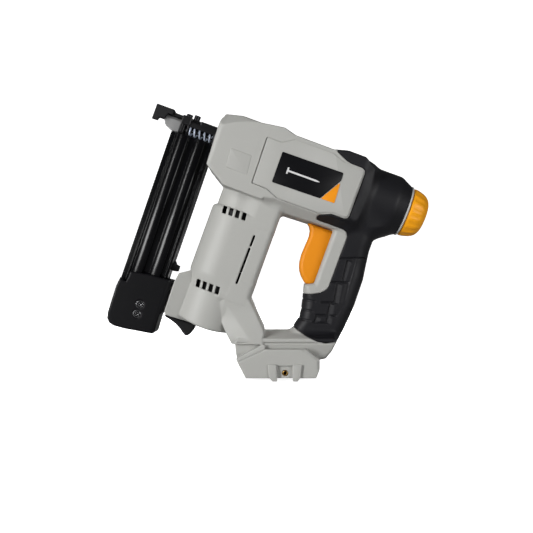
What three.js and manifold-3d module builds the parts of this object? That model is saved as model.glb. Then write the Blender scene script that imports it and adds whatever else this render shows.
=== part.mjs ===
// Cordless brad nailer, millimetres, +Z up, standing on its battery foot.
// Everything is laid out in the tool frame: x along the drive axis towards the back,
// z up towards the top of the head, y = 0 on the parting plane, left shell at y < 0.
// The whole tool group is then leaned by LEAN so that the foot is level.
import * as THREE from "three";
import { mergeVertices } from "three/addons/utils/BufferGeometryUtils.js";
import Module from "manifold-3d";

const wasm = await Module();
wasm.setup();

// ---- driving dimensions -------------------------------------------------
const LEAN = 20; // degrees between the drive axis and the level foot
const ORIGIN_X = -15.1; // tool frame origin in the level frame: drive axis meets motor axis
const ORIGIN_Z = 198.9; // height of that origin in the world
const LEVEL_Z = 2; // world height of the level frame's z = 0
const CENTRE = 6.9; // moves the tool so that its overall box is centred on x = 0

const GAP = 0.15; // half of the gap between the two housing shells
const WALL = 3.2; // shell wall
const SOFT = 1.5; // soft grip layer thickness
const SOFT_GAP = 0.3; // clearance under and around the soft grip
const FAR = 60; // half width that clears the whole tool, for cutters

// Half widths of the outer form
const HEAD_HW = 34;
const COLUMN_HW = 26.5; // motor column
const WAIST_HW = 24.6; // between head and column
const STEM_HW = 22.4; // below the column
const BRACKET_HW = 15;
const STRUT_HW = 20.5;
const HANDLE_HW = 19;
const UPPER_FOOT_HW = 30;
const FOOT_HW = 36;

const HEAD_BOTTOM = -39.3;
const COLUMN_REAR = 35.4;
const REAR_R = 28.7; // rear barrel round the drive axis
const COLLAR_R = 23.3; // collar under the power knob
const KNOB_R = 22.2;

const MAG_TILT = 1; // degrees, magazine against the tool frame's z
const MAG_X = -63; // magazine group's origin in the tool frame
const MAG_Z = -4;
const MAG_HW = 13;

const GEAR_M = 0.9; // module of the planetary set
const SUN_T = 12;
const PLANET_T = 12;
const RING_T = SUN_T + 2 * PLANET_T;
const PLANET_ORBIT = (GEAR_M * (SUN_T + PLANET_T)) / 2;
const OUT_M = 1; // module of the pinion and lifter gear
const PINION_T = 12;
const LIFTER_T = 20;
const LIFTER_Y = (OUT_M * (PINION_T + LIFTER_T)) / 2; // lifter axis beside the drive axis
const PIN_R = 11; // lifter pin circle
const PIN_STEP = 30; // degrees between lifter pins
const PIN_COUNT = 10;

const BORE_R = 22.9; // cylinder tube
const TUBE_R = 25.2;
const PISTON_R = 22.4;

// ---- outlines -------------------------------------------------------------
const rad = (degrees) => (degrees * Math.PI) / 180;
const polar = (r, degrees) => [r * Math.cos(rad(degrees)), r * Math.sin(rad(degrees))];
const shift = (points, dx, dy) => points.map(([x, y]) => [x + dx, y + dy]);

// Arc in n steps, both end points included.
function arc(cx, cy, r, from, to, n) {
  const points = [];
  for (let i = 0; i <= n; i++) points.push(polar(r, from + ((to - from) * i) / n));
  return shift(points, cx, cy);
}
const circle = (cx, cy, r, n) => arc(cx, cy, r, 0, 360 - 360 / n, n - 1);
// Rectangle u0..u1 by v0..v1 with corners of radius r.
const rounded = (u0, u1, v0, v1, r) => [
  ...arc(u1 - r, v1 - r, r, 0, 90, 2),
  ...arc(u0 + r, v1 - r, r, 90, 180, 2),
  ...arc(u0 + r, v0 + r, r, 180, 270, 2),
  ...arc(u1 - r, v0 + r, r, 270, 360, 2),
];
// Column section: half circle of radius r about cx in front, flat rear face at x = rear.
const columnSection = (cx, r, rear, halfWidth, corner) => [
  ...arc(cx, 0, r, 90, 270, 8),
  [rear - corner, -halfWidth],
  ...arc(rear - corner, -halfWidth + corner, corner, -70, 0, 2),
  ...arc(rear - corner, halfWidth - corner, corner, 0, 70, 2),
  [rear - corner, halfWidth],
];

function signedArea(points) {
  let twice = 0;
  points.forEach(([x, y], i) => {
    const [nextX, nextY] = points[(i + 1) % points.length];
    twice += x * nextY - nextX * y;
  });
  return twice / 2;
}
// Moves every edge of a polygon inwards by distance; the travel of sharp corners is limited.
function inset(points, distance) {
  const sign = signedArea(points) > 0 ? 1 : -1;
  const count = points.length;
  const normal = ([x0, y0], [x1, y1]) => {
    const length = Math.hypot(x1 - x0, y1 - y0);
    return [(-(y1 - y0) / length) * sign, ((x1 - x0) / length) * sign];
  };
  return points.map((point, i) => {
    const before = normal(points[(i + count - 1) % count], point);
    const after = normal(point, points[(i + 1) % count]);
    const spread = 1 + before[0] * after[0] + before[1] * after[1];
    const move = distance / Math.max(spread, 0.35);
    return [point[0] + (before[0] + after[0]) * move, point[1] + (before[1] + after[1]) * move];
  });
}

// Level frame (x, z), in which the foot is level, to the tool frame.
function fromLevel([levelX, levelZ]) {
  const dx = levelX - ORIGIN_X;
  const dz = levelZ - (ORIGIN_Z - LEVEL_Z);
  const [cos, sin] = polar(1, LEAN);
  return [dx * cos - dz * sin, dx * sin + dz * cos];
}
const level = (points) => points.map(fromLevel);

// ---- solids ---------------------------------------------------------------
// Closed geometry to a manifold: welded, without degenerate triangles, facing outwards.
function solid(geometry) {
  const loose = geometry.index ? geometry.toNonIndexed() : geometry;
  loose.deleteAttribute("normal");
  loose.deleteAttribute("uv");
  const welded = mergeVertices(loose, 1e-4);
  const index = welded.index.array;
  const positions = welded.attributes.position.array;
  const tri = [];
  for (let i = 0; i < index.length; i += 3) {
    const [a, b, c] = index.subarray(i, i + 3);
    if (a !== b && b !== c && a !== c) tri.push(a, b, c);
  }
  const corner = (i) => new THREE.Vector3().fromArray(positions, 3 * tri[i]);
  let volume = 0;
  for (let i = 0; i < tri.length; i += 3) {
    volume += corner(i).dot(corner(i + 1).cross(corner(i + 2)));
  }
  if (volume < 0) tri.reverse();
  return new wasm.Manifold(new wasm.Mesh({
    numProp: 3,
    vertProperties: Float32Array.from(positions),
    triVerts: Uint32Array.from(tri),
  }));
}
function geometryOf(manifold) {
  const mesh = manifold.getMesh();
  const geometry = new THREE.BufferGeometry();
  geometry.setAttribute("position", new THREE.BufferAttribute(mesh.vertProperties, 3));
  geometry.setIndex(new THREE.BufferAttribute(mesh.triVerts, 1));
  const flat = geometry.toNonIndexed();
  flat.computeVertexNormals();
  return flat;
}

// Extrusion along z from start, its edges eased by size (in the outline) and ease (along z).
function extruded(points, start, length, size = 0, ease = size, holes = []) {
  const vectors = (list) => list.map(([x, y]) => new THREE.Vector2(x, y));
  const shape = new THREE.Shape(vectors(points));
  holes.forEach((hole) => shape.holes.push(new THREE.Path(vectors(hole))));
  const geometry = new THREE.ExtrudeGeometry(shape, {
    depth: length - 2 * ease,
    bevelEnabled: size > 0,
    bevelSize: size,
    bevelOffset: -size,
    bevelThickness: ease,
    bevelSegments: 1,
    steps: 1,
  });
  return geometry.translate(0, 0, start + ease);
}
// Prism of an (x, z) outline between y0 and y1.
const prism = (points, y0, y1, size, ease) =>
  solid(extruded(points, -y1, y1 - y0, size, ease).rotateX(Math.PI / 2));
const midPrism = (points, halfWidth, size, ease) =>
  prism(points, -halfWidth, halfWidth, size, ease);
// Prism of an (x, y) outline between z0 and z1.
const tower = (points, z0, z1, size, holes) =>
  solid(extruded(points, z0, z1 - z0, size, size, holes));
// Prism of a (y, z) outline between x0 and x1.
function along(points, x0, x1) {
  const axes = [[0, 1, 0], [0, 0, 1], [1, 0, 0]].map((axis) => new THREE.Vector3(...axis));
  const turn = new THREE.Matrix4().makeBasis(...axes);
  return solid(extruded(points, x0, x1 - x0).applyMatrix4(turn));
}
function box(x0, x1, y0, y1, z0, z1) {
  const geometry = new THREE.BoxGeometry(x1 - x0, y1 - y0, z1 - z0);
  return solid(geometry.translate((x0 + x1) / 2, (y0 + y1) / 2, (z0 + z1) / 2));
}
const midBox = (x0, x1, halfWidth, z0, z1) => box(x0, x1, -halfWidth, halfWidth, z0, z1);
// Box whose x and z are given in the level frame.
const levelBox = (x0, x1, y0, y1, z0, z1) =>
  prism(level([[x0, z0], [x1, z0], [x1, z1], [x0, z1]]), y0, y1);
// Turned about the x or z axis; profile of [radius, along], closed or ending on the axis.
function turned(profile, axis, segments) {
  const points = profile.map(([r, along]) => new THREE.Vector2(r, along));
  const geometry = new THREE.LatheGeometry(points, segments);
  return solid(axis === "x" ? geometry.rotateZ(-Math.PI / 2) : geometry.rotateX(Math.PI / 2));
}
// Rod along an axis; centre holds its other two coordinates in x, y, z order.
function rod(axis, r, from, to, segments = 16, [u, v] = [0, 0]) {
  const geometry = new THREE.CylinderGeometry(r, r, to - from, segments);
  geometry.translate(0, (from + to) / 2, 0);
  if (axis === "x") geometry.rotateZ(-Math.PI / 2).translate(0, u, v);
  if (axis === "y") geometry.translate(u, 0, v);
  if (axis === "z") geometry.rotateX(Math.PI / 2).translate(u, v, 0);
  return solid(geometry);
}
// Helical spring about the x axis; steps are per turn, sides are those of the wire.
function coil({ radius, wire, from, to, turns, steps, sides }) {
  const count = turns * steps;
  const points = [];
  for (let i = 0; i <= count; i++) {
    const angle = (i / count) * turns * 360;
    points.push(new THREE.Vector3(from + ((to - from) * i) / count, ...polar(radius, angle)));
  }
  const section = circle(0, 0, wire, sides).map(([x, y]) => new THREE.Vector2(x, y));
  return solid(new THREE.ExtrudeGeometry(new THREE.Shape(section), {
    steps: count,
    extrudePath: new THREE.CatmullRomCurve3(points),
    bevelEnabled: false,
  }));
}
const join = (...solids) => solids.reduce((a, b) => a.add(b));
const cut = (body, ...tools) => tools.reduce((a, b) => a.subtract(b), body);

// Screw with a hexagon socket; head, shank and socket are each [radius, from, to].
const hexScrew = (axis, centre, head, shank, socket) => cut(
  join(rod(axis, ...head, 16, centre), rod(axis, ...shank, 10, centre)),
  rod(axis, ...socket, 6, centre),
);

// ---- materials and groups ---------------------------------------------------
const MATERIALS = {
  grey_plastic: { color: 0xb4b4b0, roughness: 0.55, metalness: 0 },
  soft_grip: { color: 0x2a2a2d, roughness: 0.75, metalness: 0 },
  orange_plastic: { color: 0xe8951f, roughness: 0.45, metalness: 0 },
  black_plastic: { color: 0x1c1c1f, roughness: 0.5, metalness: 0 },
  black_metal: { color: 0x111113, roughness: 0.3, metalness: 0.8 },
  label_dark: { color: 0x232327, roughness: 0.4, metalness: 0 },
  silver_metal: { color: 0xa6a6a6, roughness: 0.4, metalness: 0.9 },
  steel: { color: 0x8a8c90, roughness: 0.35, metalness: 0.9 },
  zinc_screw: { color: 0x2b2b2d, roughness: 0.35, metalness: 0.8 },
  brass: { color: 0xc09a4a, roughness: 0.35, metalness: 0.9 },
  copper: { color: 0xb0683a, roughness: 0.4, metalness: 0.9 },
  board_green: { color: 0x23603a, roughness: 0.6, metalness: 0 },
  rubber: { color: 0x202020, roughness: 0.85, metalness: 0 },
  white_plastic: { color: 0xd9d9d4, roughness: 0.5, metalness: 0 },
};
const materials = {};
for (const [name, look] of Object.entries(MATERIALS)) {
  materials[name] = new THREE.MeshStandardMaterial({ name, ...look });
}

const tool = new THREE.Group();
tool.rotation.y = rad(LEAN);
tool.position.set(ORIGIN_X + CENTRE, 0, ORIGIN_Z);
const magazine = new THREE.Group();
magazine.position.set(MAG_X, 0, MAG_Z);
magazine.rotation.y = rad(-MAG_TILT);
tool.add(magazine);

function add(name, manifold, material, group = tool) {
  const mesh = new THREE.Mesh(geometryOf(manifold), materials[material]);
  mesh.name = name;
  group.add(mesh);
}

// ---- outer form: side outlines as [x, z] --------------------------------------
const HEAD = [
  [-41.8, 27.2], [-26, 31.1], [-8.4, 31.1], [11.8, 33.9], [23.5, 31], [60.4, 30.8],
  [72.7, 34.1], [88.2, 34], [99.9, 27.9], [101, -30], [93, -39.3], [40.2, -39.3],
  [-20, -37.5], [-24.2, -34.7], [-41.5, -24.3], [-43.3, 12.5], [-43.6, 22],
];
const HANDLE = [
  [84.3, -28], [84.3, -90.5], [77.3, -94], [79.2, -102.5], [82.3, -124.6], [80.4, -131.3],
  [80.6, -137], [84, -150], [112, -158], [118.5, -151.1], [121.1, -143.4], [126.1, -100],
  [125.6, -72.1], [121.8, -46.9], [123, -36], [127, -26], [100, -20],
];
const BRACKET = [
  [-8, -114], [-25, -117], [-33.4, -123.6], [-34.6, -132.7], [-33.8, -163.2],
  [-32.4, -165.8], [-2, -164.2],
];
const STRUT = [
  [12, -120], [35.3, -122.8], [56, -144.5], [58.6, -148.5], [58, -156], [42, -167],
  [33, -166], [26.2, -160], [13, -150],
];
const UPPER_FOOT = level([
  [-38.2, 31], [-38.4, 22], [-36, 10], [36.5, 10], [43, 16.5], [48, 23.5], [51.5, 33.5],
  [50.2, 39], [15, 43.2], [-12, 43.2], [-30, 40],
]);
const LOWER_FOOT = level([
  [-27.8, 0.4], [33.7, 0.4], [36.9, 8.3], [36.9, 16.4], [25.1, 25.7], [-10.6, 25.7],
  [-35.4, 14.2],
]);
// Raised panel and small raised pad on each side of the head
const PANEL = [
  [1.3, 15.3], [15.3, 15.2], [25.5, 21.5], [60.9, 22.2], [63.1, 20.6], [72.9, 17.3],
  [88.3, 16.4], [90.4, 14.1], [90.4, -25], [88.1, -27], [76.1, -26.9], [66, -30.6],
  [29, -30.2], [17, -26.8], [2.3, -26.6],
];
const PAD = [[-26, -4.3], [-6.2, -4.2], [-4.4, -21.6], [-24.2, -21.5]];
// Where the soft grip covers the rear of the head, the rear barrel and the handle
const GRIP = [
  [60.4, 40], [61.4, 27.4], [63.6, 23.9], [73.6, 19.8], [89.3, 18.6], [92.2, 16.4],
  [92.2, -25], [90.5, -28.4], [77, -28.2], [66, -33.2], [66.6, -37.2], [92.1, -37.2],
  [96.3, -39], [98, -42.5], [97.4, -90.8], [93.1, -96.8], [85.1, -101], [74, -102.6],
  [74, -133.9], [80.6, -133.9], [91.6, -137.4], [103.2, -138], [111.4, -137.2],
  [119.3, -132.6], [140, -128], [140, -60], [137, -50], [137, 40],
];

// The outer form with its whole surface moved inwards by o.
function form(o) {
  const slab = (outline, halfWidth, size, ease) =>
    o ? midPrism(inset(outline, o), halfWidth - o) : midPrism(outline, halfWidth, size, ease);
  const headHW = HEAD_HW - o;
  const head = midPrism(inset(HEAD, o), headHW)
    .intersect(along(rounded(-headHW, headHW, HEAD_BOTTOM + o, 34 - o, 10 - o), -50, 110))
    .intersect(tower(rounded(-43.8 + o, 130, -headHW, headHW, 11 - o), -60, 60));
  const barrel = turned([
    [0, 84], [REAR_R - o, 84], [REAR_R - o, 128.4 - o * 0.4], [COLLAR_R - o, 139.2 - o],
    [0, 139.2 - o],
  ], "x", 24);
  const rear = COLUMN_REAR - o;
  const columnHW = COLUMN_HW - o;
  const stemHW = STEM_HW - o;
  const handleHW = HANDLE_HW - o;
  const handlePlan = rounded(76.6 + o, 127.4 - o, -handleHW, handleHW, 11 - o * 0.8);
  const body = join(
    head,
    barrel,
    tower(columnSection(0, columnHW, rear, columnHW, 9), -118 + o, -54 - o, 3.2),
    tower(columnSection(0, 23 - o, rear, WAIST_HW - o, 9), -62, -30),
    tower(columnSection(2, stemHW, 30 - o, stemHW, 8), -164 + o, -106, 3),
    slab(BRACKET, BRACKET_HW, 1, 1.6),
    slab(STRUT, STRUT_HW, 1.5, 3),
    slab(UPPER_FOOT, UPPER_FOOT_HW, 1.6, 2),
    slab(LOWER_FOOT, FOOT_HW, 1.2, 1.6),
    midPrism(inset(HANDLE, o), handleHW).intersect(tower(handlePlan, -170, 0)),
  );
  if (o) return body;
  return join(body, midPrism(PANEL, HEAD_HW + 0.8, 0.8), midPrism(PAD, HEAD_HW + 0.7, 1));
}

// ---- housing shells and soft grips -----------------------------------------
const SIDES = { left: -1, right: 1 };
// A y range between two distances from the parting plane, on one side of it.
const spanOn = (side, near, far) => (side < 0 ? [-far, -near] : [near, far]);

// Housing screws as [x, z]: heads in the right shell, threads in the left
const SCREWS = [
  [-33.5, 21], [-32, -20], [53, -33.6], [47, -147], [108, -52], [103.5, -112], [-27.2, -140],
];
// Belt hook pads on the foot: two ribs a side with a threaded insert between them
const HOOK_RIBS = [
  level([[-8.6, 12.6], [-0.6, 12.6], [-0.2, -2], [-4.4, -2], [-8.2, 2]]),
  level([[13.4, 12.6], [21.2, 12.6], [20.4, 2], [17.6, -2], [13.4, -2]]),
];
const HOOK_INSERT = fromLevel([6.6, 4.9]);
const HOOK_BORE_R = 2.7;

const outer = form(0);
const under = form(SOFT + SOFT_GAP);

function shellOpenings() {
  const vents = [-13.4, -7.2, -1.1, 5.1].flatMap((x) => [
    midBox(x - 1.6, x + 1.6, FAR, -59.6, -52.9),
    midBox(x - 1.6, x + 1.6, FAR, -129.2, -122.6),
  ]);
  return join(
    ...vents,
    midBox(18.8, 20.4, FAR, -79.1, -69.1), // upright slots in the motor column
    midBox(18.5, 20.1, FAR, -114.3, -80.9),
    midBox(70, 90, 11.6, -94.8, -40.2), // trigger slot
    rod("x", 12.4, 130, 150, 24), // knob hub
    midBox(-60, -36, 14, -5, 12.6), // nose block
    levelBox(-29.6, 42, -29.6, 29.6, -6, 14), // battery recess
    midBox(-30, -7, 6.3, -170, -158.5), // latch guide
  );
}
const shell = cut(join(cut(outer, midPrism(GRIP, FAR)), under), form(WALL), shellOpenings());
const grip = cut(outer, form(SOFT)).intersect(midPrism(inset(GRIP, SOFT_GAP), FAR));

const halfOf = (body, side) =>
  body.intersect(box(-130, 170, ...spanOn(side, GAP, FAR), -230, 60));

// Adds one screw boss to a half shell and drills it.
function withScrewBoss(half, side, centre) {
  const isLeft = side < 0;
  const bossSpan = spanOn(side, GAP, FAR);
  const boss = rod("y", isLeft ? 3.6 : 4.6, ...bossSpan, 12, centre).intersect(under);
  const bossed = join(half, boss);
  if (isLeft) return cut(bossed, rod("y", 1.75, -12.4, 0, 10, centre)); // blind thread hole
  const clearance = rod("y", 2.1, -1, FAR, 10, centre);
  const headRecess = rod("y", 3.7, 4.2, FAR, 12, centre);
  return cut(bossed, clearance, headRecess);
}
function housingHalf(side) {
  const ribs = HOOK_RIBS.map((rib) => prism(rib, ...spanOn(side, 33, 38.2), 0.6));
  const insertBoss = cut(
    rod("y", 4.4, ...spanOn(side, 29.9, 35.2), 16, HOOK_INSERT),
    rod("y", HOOK_BORE_R, -FAR, FAR, 16, HOOK_INSERT),
  );
  const half = cut(
    join(halfOf(shell, side), join(...ribs), insertBoss),
    rod("y", HOOK_BORE_R, ...spanOn(side, 20, FAR), 16, HOOK_INSERT),
  );
  return SCREWS.reduce((body, centre) => withScrewBoss(body, side, centre), half);
}
function gripHalf(side) {
  const half = halfOf(grip, side);
  if (side < 0) return half;
  return cut(half, ...SCREWS.map((centre) => rod("y", 4, 0, FAR, 12, centre)));
}
// Cross-recessed screw along y.
function housingScrew([x, z]) {
  return cut(
    join(rod("y", 3.3, 4.5, 7.2, 12, [x, z]), rod("y", 1.45, -11.6, 4.6, 8, [x, z])),
    box(x - 0.5, x + 0.5, 6.2, 8, z - 2.2, z + 2.2),
    box(x - 2.2, x + 2.2, 6.2, 8, z - 0.5, z + 0.5),
  );
}
const hookInsert = (side) => cut(
  rod("y", 2.4, ...spanOn(side, 30.2, 35), 16, HOOK_INSERT),
  rod("y", 1.5, ...spanOn(side, 20, 40), 12, HOOK_INSERT),
);
const LABEL = [[17.8, 8.2], [74.4, 8.6], [75.7, -19], [18, -20.2]]; // [x, z], on the panel

for (const [name, side] of Object.entries(SIDES)) {
  add("housing_" + name, housingHalf(side), "grey_plastic");
  add("grip_" + name, gripHalf(side), "soft_grip");
  add("side_label_" + name, prism(LABEL, ...spanOn(side, 35.1, 35.5)), "label_dark");
  add("hook_insert_" + name, hookInsert(side), "brass");
}
SCREWS.forEach((centre, i) => {
  add("housing_screw_" + (i + 1), housingScrew(centre), "zinc_screw");
});

// ---- gears ------------------------------------------------------------------
// Straight-sided teeth, full at the root and eased to the tip, thinned for running
// clearance. Tips point outwards, or inwards for an internal gear (direction -1).
function gearOutline(teeth, module, phase, direction = 1) {
  const pitchR = (module * teeth) / 2;
  const rootR = pitchR - direction * 1.15 * module;
  const tipR = pitchR + direction * 0.8 * module;
  const step = 360 / teeth;
  const outline = [];
  for (let i = 0; i < teeth; i++) {
    // Half widths are fractions of half a tooth step.
    for (const [r, offset] of [[rootR, -0.56], [tipR, -0.2], [tipR, 0.2], [rootR, 0.56]]) {
      outline.push(polar(r, phase + i * step + (offset * step) / 2));
    }
  }
  return outline;
}
// In every pair one gear shows a tooth and the other a space on the line of centres.
const PLANET_ANGLES = [0, 120, 240];

// Gear, disc, shaft and pins; turns beside the drive axis.
function lifterWheel() {
  const centre = [0, LIFTER_Y];
  const pins = Array.from({ length: PIN_COUNT }, (_, k) => {
    const [x, y] = polar(PIN_R, -90 - PIN_STEP * k);
    return rod("z", 1.3, -4.4, 1.6, 8, [x, LIFTER_Y + y]);
  });
  return join(
    tower(shift(gearOutline(LIFTER_T, OUT_M, -90), ...centre), -14, -7.8),
    rod("z", 12.8, -8, -4.2, 28, centre),
    rod("z", 3, -21.9, 6, 14, centre),
    ...pins,
  );
}
// Carrier disc and planet pins with the output pinion on its shaft.
const planetCarrier = () => join(
  tower(gearOutline(PINION_T, OUT_M, 90 + 180 / PINION_T), -14, -8.2),
  rod("z", 3.4, -24, -13.8),
  rod("z", 14.6, -26, -22.6, 24),
  ...PLANET_ANGLES.map((angle) => rod("z", 1.6, -34, -25.8, 10, polar(PLANET_ORBIT, angle))),
);
function planetGear(angle) {
  const centre = polar(PLANET_ORBIT, angle);
  const teeth = gearOutline(PLANET_T, GEAR_M, angle + 180 + 180 / PLANET_T);
  return tower(shift(teeth, ...centre), -33.6, -26.4, 0, [circle(...centre, 2, 12)]);
}
const ringGear = () =>
  tower(circle(0, 0, 19.4, 36), -35, -26.4, 0, [gearOutline(RING_T, GEAR_M, 0, -1)]);
// Plate that carries the lifter and output shafts.
const gearPlate = () => cut(
  tower([...arc(0, 0, 19.5, 130, 410, 20), ...arc(0, 12, 16, 20, 160, 8)], -20.6, -17),
  rod("z", 3.75, -30, 0),
  rod("z", 3.3, -30, 0, 16, [0, LIFTER_Y]),
);

add("lifter_wheel", lifterWheel(), "steel");
add("planet_carrier", planetCarrier(), "steel");
PLANET_ANGLES.forEach((angle, i) => add("planet_gear_" + (i + 1), planetGear(angle), "steel"));
add("ring_gear", ringGear(), "steel");
add("gear_plate", gearPlate(), "silver_metal");

// ---- motor: profiles as [radius, z] -------------------------------------------
const CAN = [
  [4.2, -38.6], [17.5, -38.6], [17.5, -63.5], [22.8, -66], [22.8, -104], [4.2, -104],
  [4.2, -101.5], [20.4, -101.5], [20.4, -68], [15.4, -62], [15.4, -41.2], [4.2, -41.2],
  [4.2, -38.6],
];
const BEARING = [[2.8, -126], [7, -126], [7, -121], [2.8, -121], [2.8, -126]];
const FAN_R = 16.2;
const FAN_BLADES = 9;

const motorRotor = () => join(
  tower(gearOutline(SUN_T, GEAR_M, 0), -34.2, -26.6), // sun pinion
  rod("z", 2.5, -122, -34, 12), // shaft
  rod("z", 14.4, -94, -66, 20), // core
  rod("z", 6.5, -99.4, -93.8, 14),
);
function motorFan() {
  const blade = box(5, 17, -0.6, 0.6, -117.9, -109.3);
  const blades = Array.from({ length: FAN_BLADES }, (_, k) =>
    blade.rotate([0, 0, (360 / FAN_BLADES) * k]));
  const fan = join(rod("z", 6, -118, -108), rod("z", FAN_R, -109.6, -108, 24), ...blades);
  return fan.intersect(rod("z", FAN_R, -130, -100, 24)).subtract(rod("z", 2.7, -130, -100, 12));
}

add("motor_can", turned(CAN, "z", 24), "steel");
add("motor_rotor", motorRotor(), "steel");
add("motor_fan", motorFan(), "black_plastic");
add("motor_bearing", turned(BEARING, "z", 20), "steel");

// ---- cylinder, piston and driver: profiles as [radius, x] ----------------------
const TUBE = [[BORE_R, 20], [TUBE_R, 20], [TUBE_R, 108], [BORE_R, 108], [BORE_R, 20]];
const BUMPER = [[8, 20.4], [22.4, 20.4], [22.4, 25.6], [14, 25.6], [8, 23], [8, 20.4]];
const PISTON = [
  [0, 26], [PISTON_R, 26], [PISTON_R, 30], [21.3, 30], [21.3, 32], [PISTON_R, 32],
  [PISTON_R, 38], [13, 38], [13, 36], [0, 36],
];
const SEAL = [[21.6, 30.3], [22.5, 30.3], [22.5, 31.7], [21.6, 31.7], [21.6, 30.3]];

// Flat blade with a rack along its +y edge, at the pitch of the lifter pins.
function driverBlade() {
  const edge = 3; // body half width, and y of the tooth roots
  const tip = 6.2; // y of the tooth tips
  const rootGap = 1.75; // half width of a tooth space at the root
  const tipGap = 2.1;
  const pitch = PIN_R * rad(PIN_STEP);
  const outline = [
    [-92.6, -1.2], [-60, -1.2], [-57, -edge], [32.6, -edge], [32.6, edge],
    [4.01, edge], [3.66, tip], [tipGap, tip], [rootGap, edge],
  ];
  for (let k = 0; k < PIN_COUNT; k++) {
    const space = -k * pitch;
    const next = space - pitch;
    outline.push([space - rootGap, edge], [space - tipGap, tip]);
    outline.push([next + tipGap, tip], [next + rootGap, edge]);
  }
  return tower([...outline, [-60, 1.2], [-92.6, 1.2]], -0.7, 0.7);
}

add("cylinder_tube", turned(TUBE, "x", 32), "silver_metal");
add("bumper", cut(turned(BUMPER, "x", 24), midBox(0, 60, 8, -1.2, 1.2)), "rubber");
add("piston", cut(turned(PISTON, "x", 24), midBox(20, 33, 4, -1, 1)), "silver_metal");
add("driver_blade", driverBlade(), "steel");
add("piston_seal", turned(SEAL, "x", 24), "rubber");
add("main_spring", coil({
  radius: 17.5, wire: 1.5, from: 39.9, to: 115.9, turns: 8, steps: 12, sides: 5,
}), "steel");

// ---- power knob ------------------------------------------------------------
const COLLAR = [[13, 139.5], [COLLAR_R, 139.5], [COLLAR_R, 141.2], [13, 141.2], [13, 139.5]];
const KNOB_CAP = [
  [0, 150], [KNOB_R - 0.4, 150], [KNOB_R - 0.6, 152.8], [KNOB_R - 2, 155.4], [18, 157.6],
  [14.6, 159.2], [6, 160.2], [0, 160.4],
];
const KNOB_RIBS = 18;

function powerKnob() {
  const ribR = KNOB_R + 0.8;
  const outline = [];
  for (let k = 0; k < KNOB_RIBS; k++) {
    for (const [r, offset] of [[KNOB_R, -7], [ribR, -3], [ribR, 3], [KNOB_R, 7]]) {
      outline.push(polar(r, (360 / KNOB_RIBS) * k + offset));
    }
  }
  const hub = rod("x", 11.8, 131, 142, 20);
  const body = join(along(outline, 141.6, 152.4), turned(KNOB_CAP, "x", 28), hub);
  return cut(body, rod("x", 5.4, 120, 152, 14));
}
// Adjusting screw: spring plate on a stem that runs in the knob's hub.
const springPlate = () => join(rod("x", 21, 118, 121.5, 24), rod("x", 5, 121, 146));

add("spring_plate", springPlate(), "steel");
add("knob_collar", turned(COLLAR, "x", 36), "white_plastic");
add("power_knob", powerKnob(), "orange_plastic");

// ---- nose: side outlines as [x, z] --------------------------------------------
const NOSE_BLOCK = [[-78.4, 8.7], [-78.4, -3.8], [-30, -3.8], [-30, 12], [-61.2, 12], [-61.2, 8.7]];
const NOSE_PLATE = [
  [-93.9, 4.7], [-93.1, 8.4], [-78.8, 8.4], [-78.8, -3.6], [-88.2, -2.9], [-93.2, -0.8],
];
const NO_MAR_TIP = [
  [-104.8, 14.1], [-87.9, 14.1], [-87.9, 8.9], [-98.2, 8.9], [-98.2, -0.2], [-104.8, -0.2],
];
const NOSE_SCREW_X = [-74.6, -67.4];
const TRIP_ROD = [-10.6, 0.1]; // y and z of the trip rod and its spring

const noseBlock = () => cut(
  midPrism(NOSE_BLOCK, 13, 0.8),
  box(-100, -20, -3.8, 6.9, -1.3, 1.3), // driver channel
  box(-73.6, -46.2, -20, -7.4, -3.9, 3.9), // trip spring pocket
  rod("x", 1.15, -90, -40, 12, TRIP_ROD),
  ...NOSE_SCREW_X.map((x) => rod("z", 1.7, 2, 20, 12, [x, 0])),
  midBox(-62, -53.2, 8.4, 8.7, 14), // recess in the top
);
const contactTrip = () => cut(
  join(
    midBox(-100.4, -61.8, 8, 9.2, 12.2), // top plate
    box(-78, -69.6, -14.4, -7.6, 9.2, 12.2), // arm to the left
    box(-78, -69.6, -14.4, -13.4, -3.4, 12.2), // leg down the left side
    box(-72.2, -69.6, -14.2, -8.2, -3.2, 3.4), // lug on the trip rod
  ),
  midBox(-85, -62.6, 1.9, 5, 15), // slot round the nose screws
  rod("x", 1.25, -90, -60, 12, TRIP_ROD),
);
const noMarTip = () => cut(
  midPrism(NO_MAR_TIP, 10.6, 0.7),
  midBox(-100.7, -80, 8.3, 8.8, 12.5),
  midBox(-110, -80, 7.1, -5, 8.6),
);
const nosePlate = cut(midPrism(NOSE_PLATE, 6.6, 0.5), midBox(-100, -70, 1.7, -1.1, 1.1));
const tripSpring = coil({
  radius: 2.75, wire: 0.5, from: -68.4, to: -47.6, turns: 5.5, steps: 10, sides: 4,
}).translate([0, ...TRIP_ROD]);

add("nose_block", noseBlock(), "black_metal");
add("nose_plate", nosePlate, "silver_metal");
add("contact_trip", contactTrip(), "black_metal");
add("no_mar_tip", noMarTip(), "rubber");
add("trip_spring", tripSpring, "silver_metal");
add("trip_rod", rod("x", 0.85, -77.6, -44.6, 10, TRIP_ROD), "silver_metal");
NOSE_SCREW_X.forEach((x, i) => {
  const head = [2.9, 12.5, 16.2 + i * 1.2]; // the rear head is taller
  const screw = hexScrew("z", [x, 0], head, [1.4, 2.6, 13], [1.3, 14.4, 20]);
  add("nose_screw_" + (i + 1), screw, "zinc_screw");
});

// ---- magazine -----------------------------------------------------------------
// Drawn with the tool frame's x and the magazine group's z, then moved to the group's x.
const addToMagazine = (name, manifold, material) =>
  add(name, manifold.translate([-MAG_X, 0, 0]), material, magazine);

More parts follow.
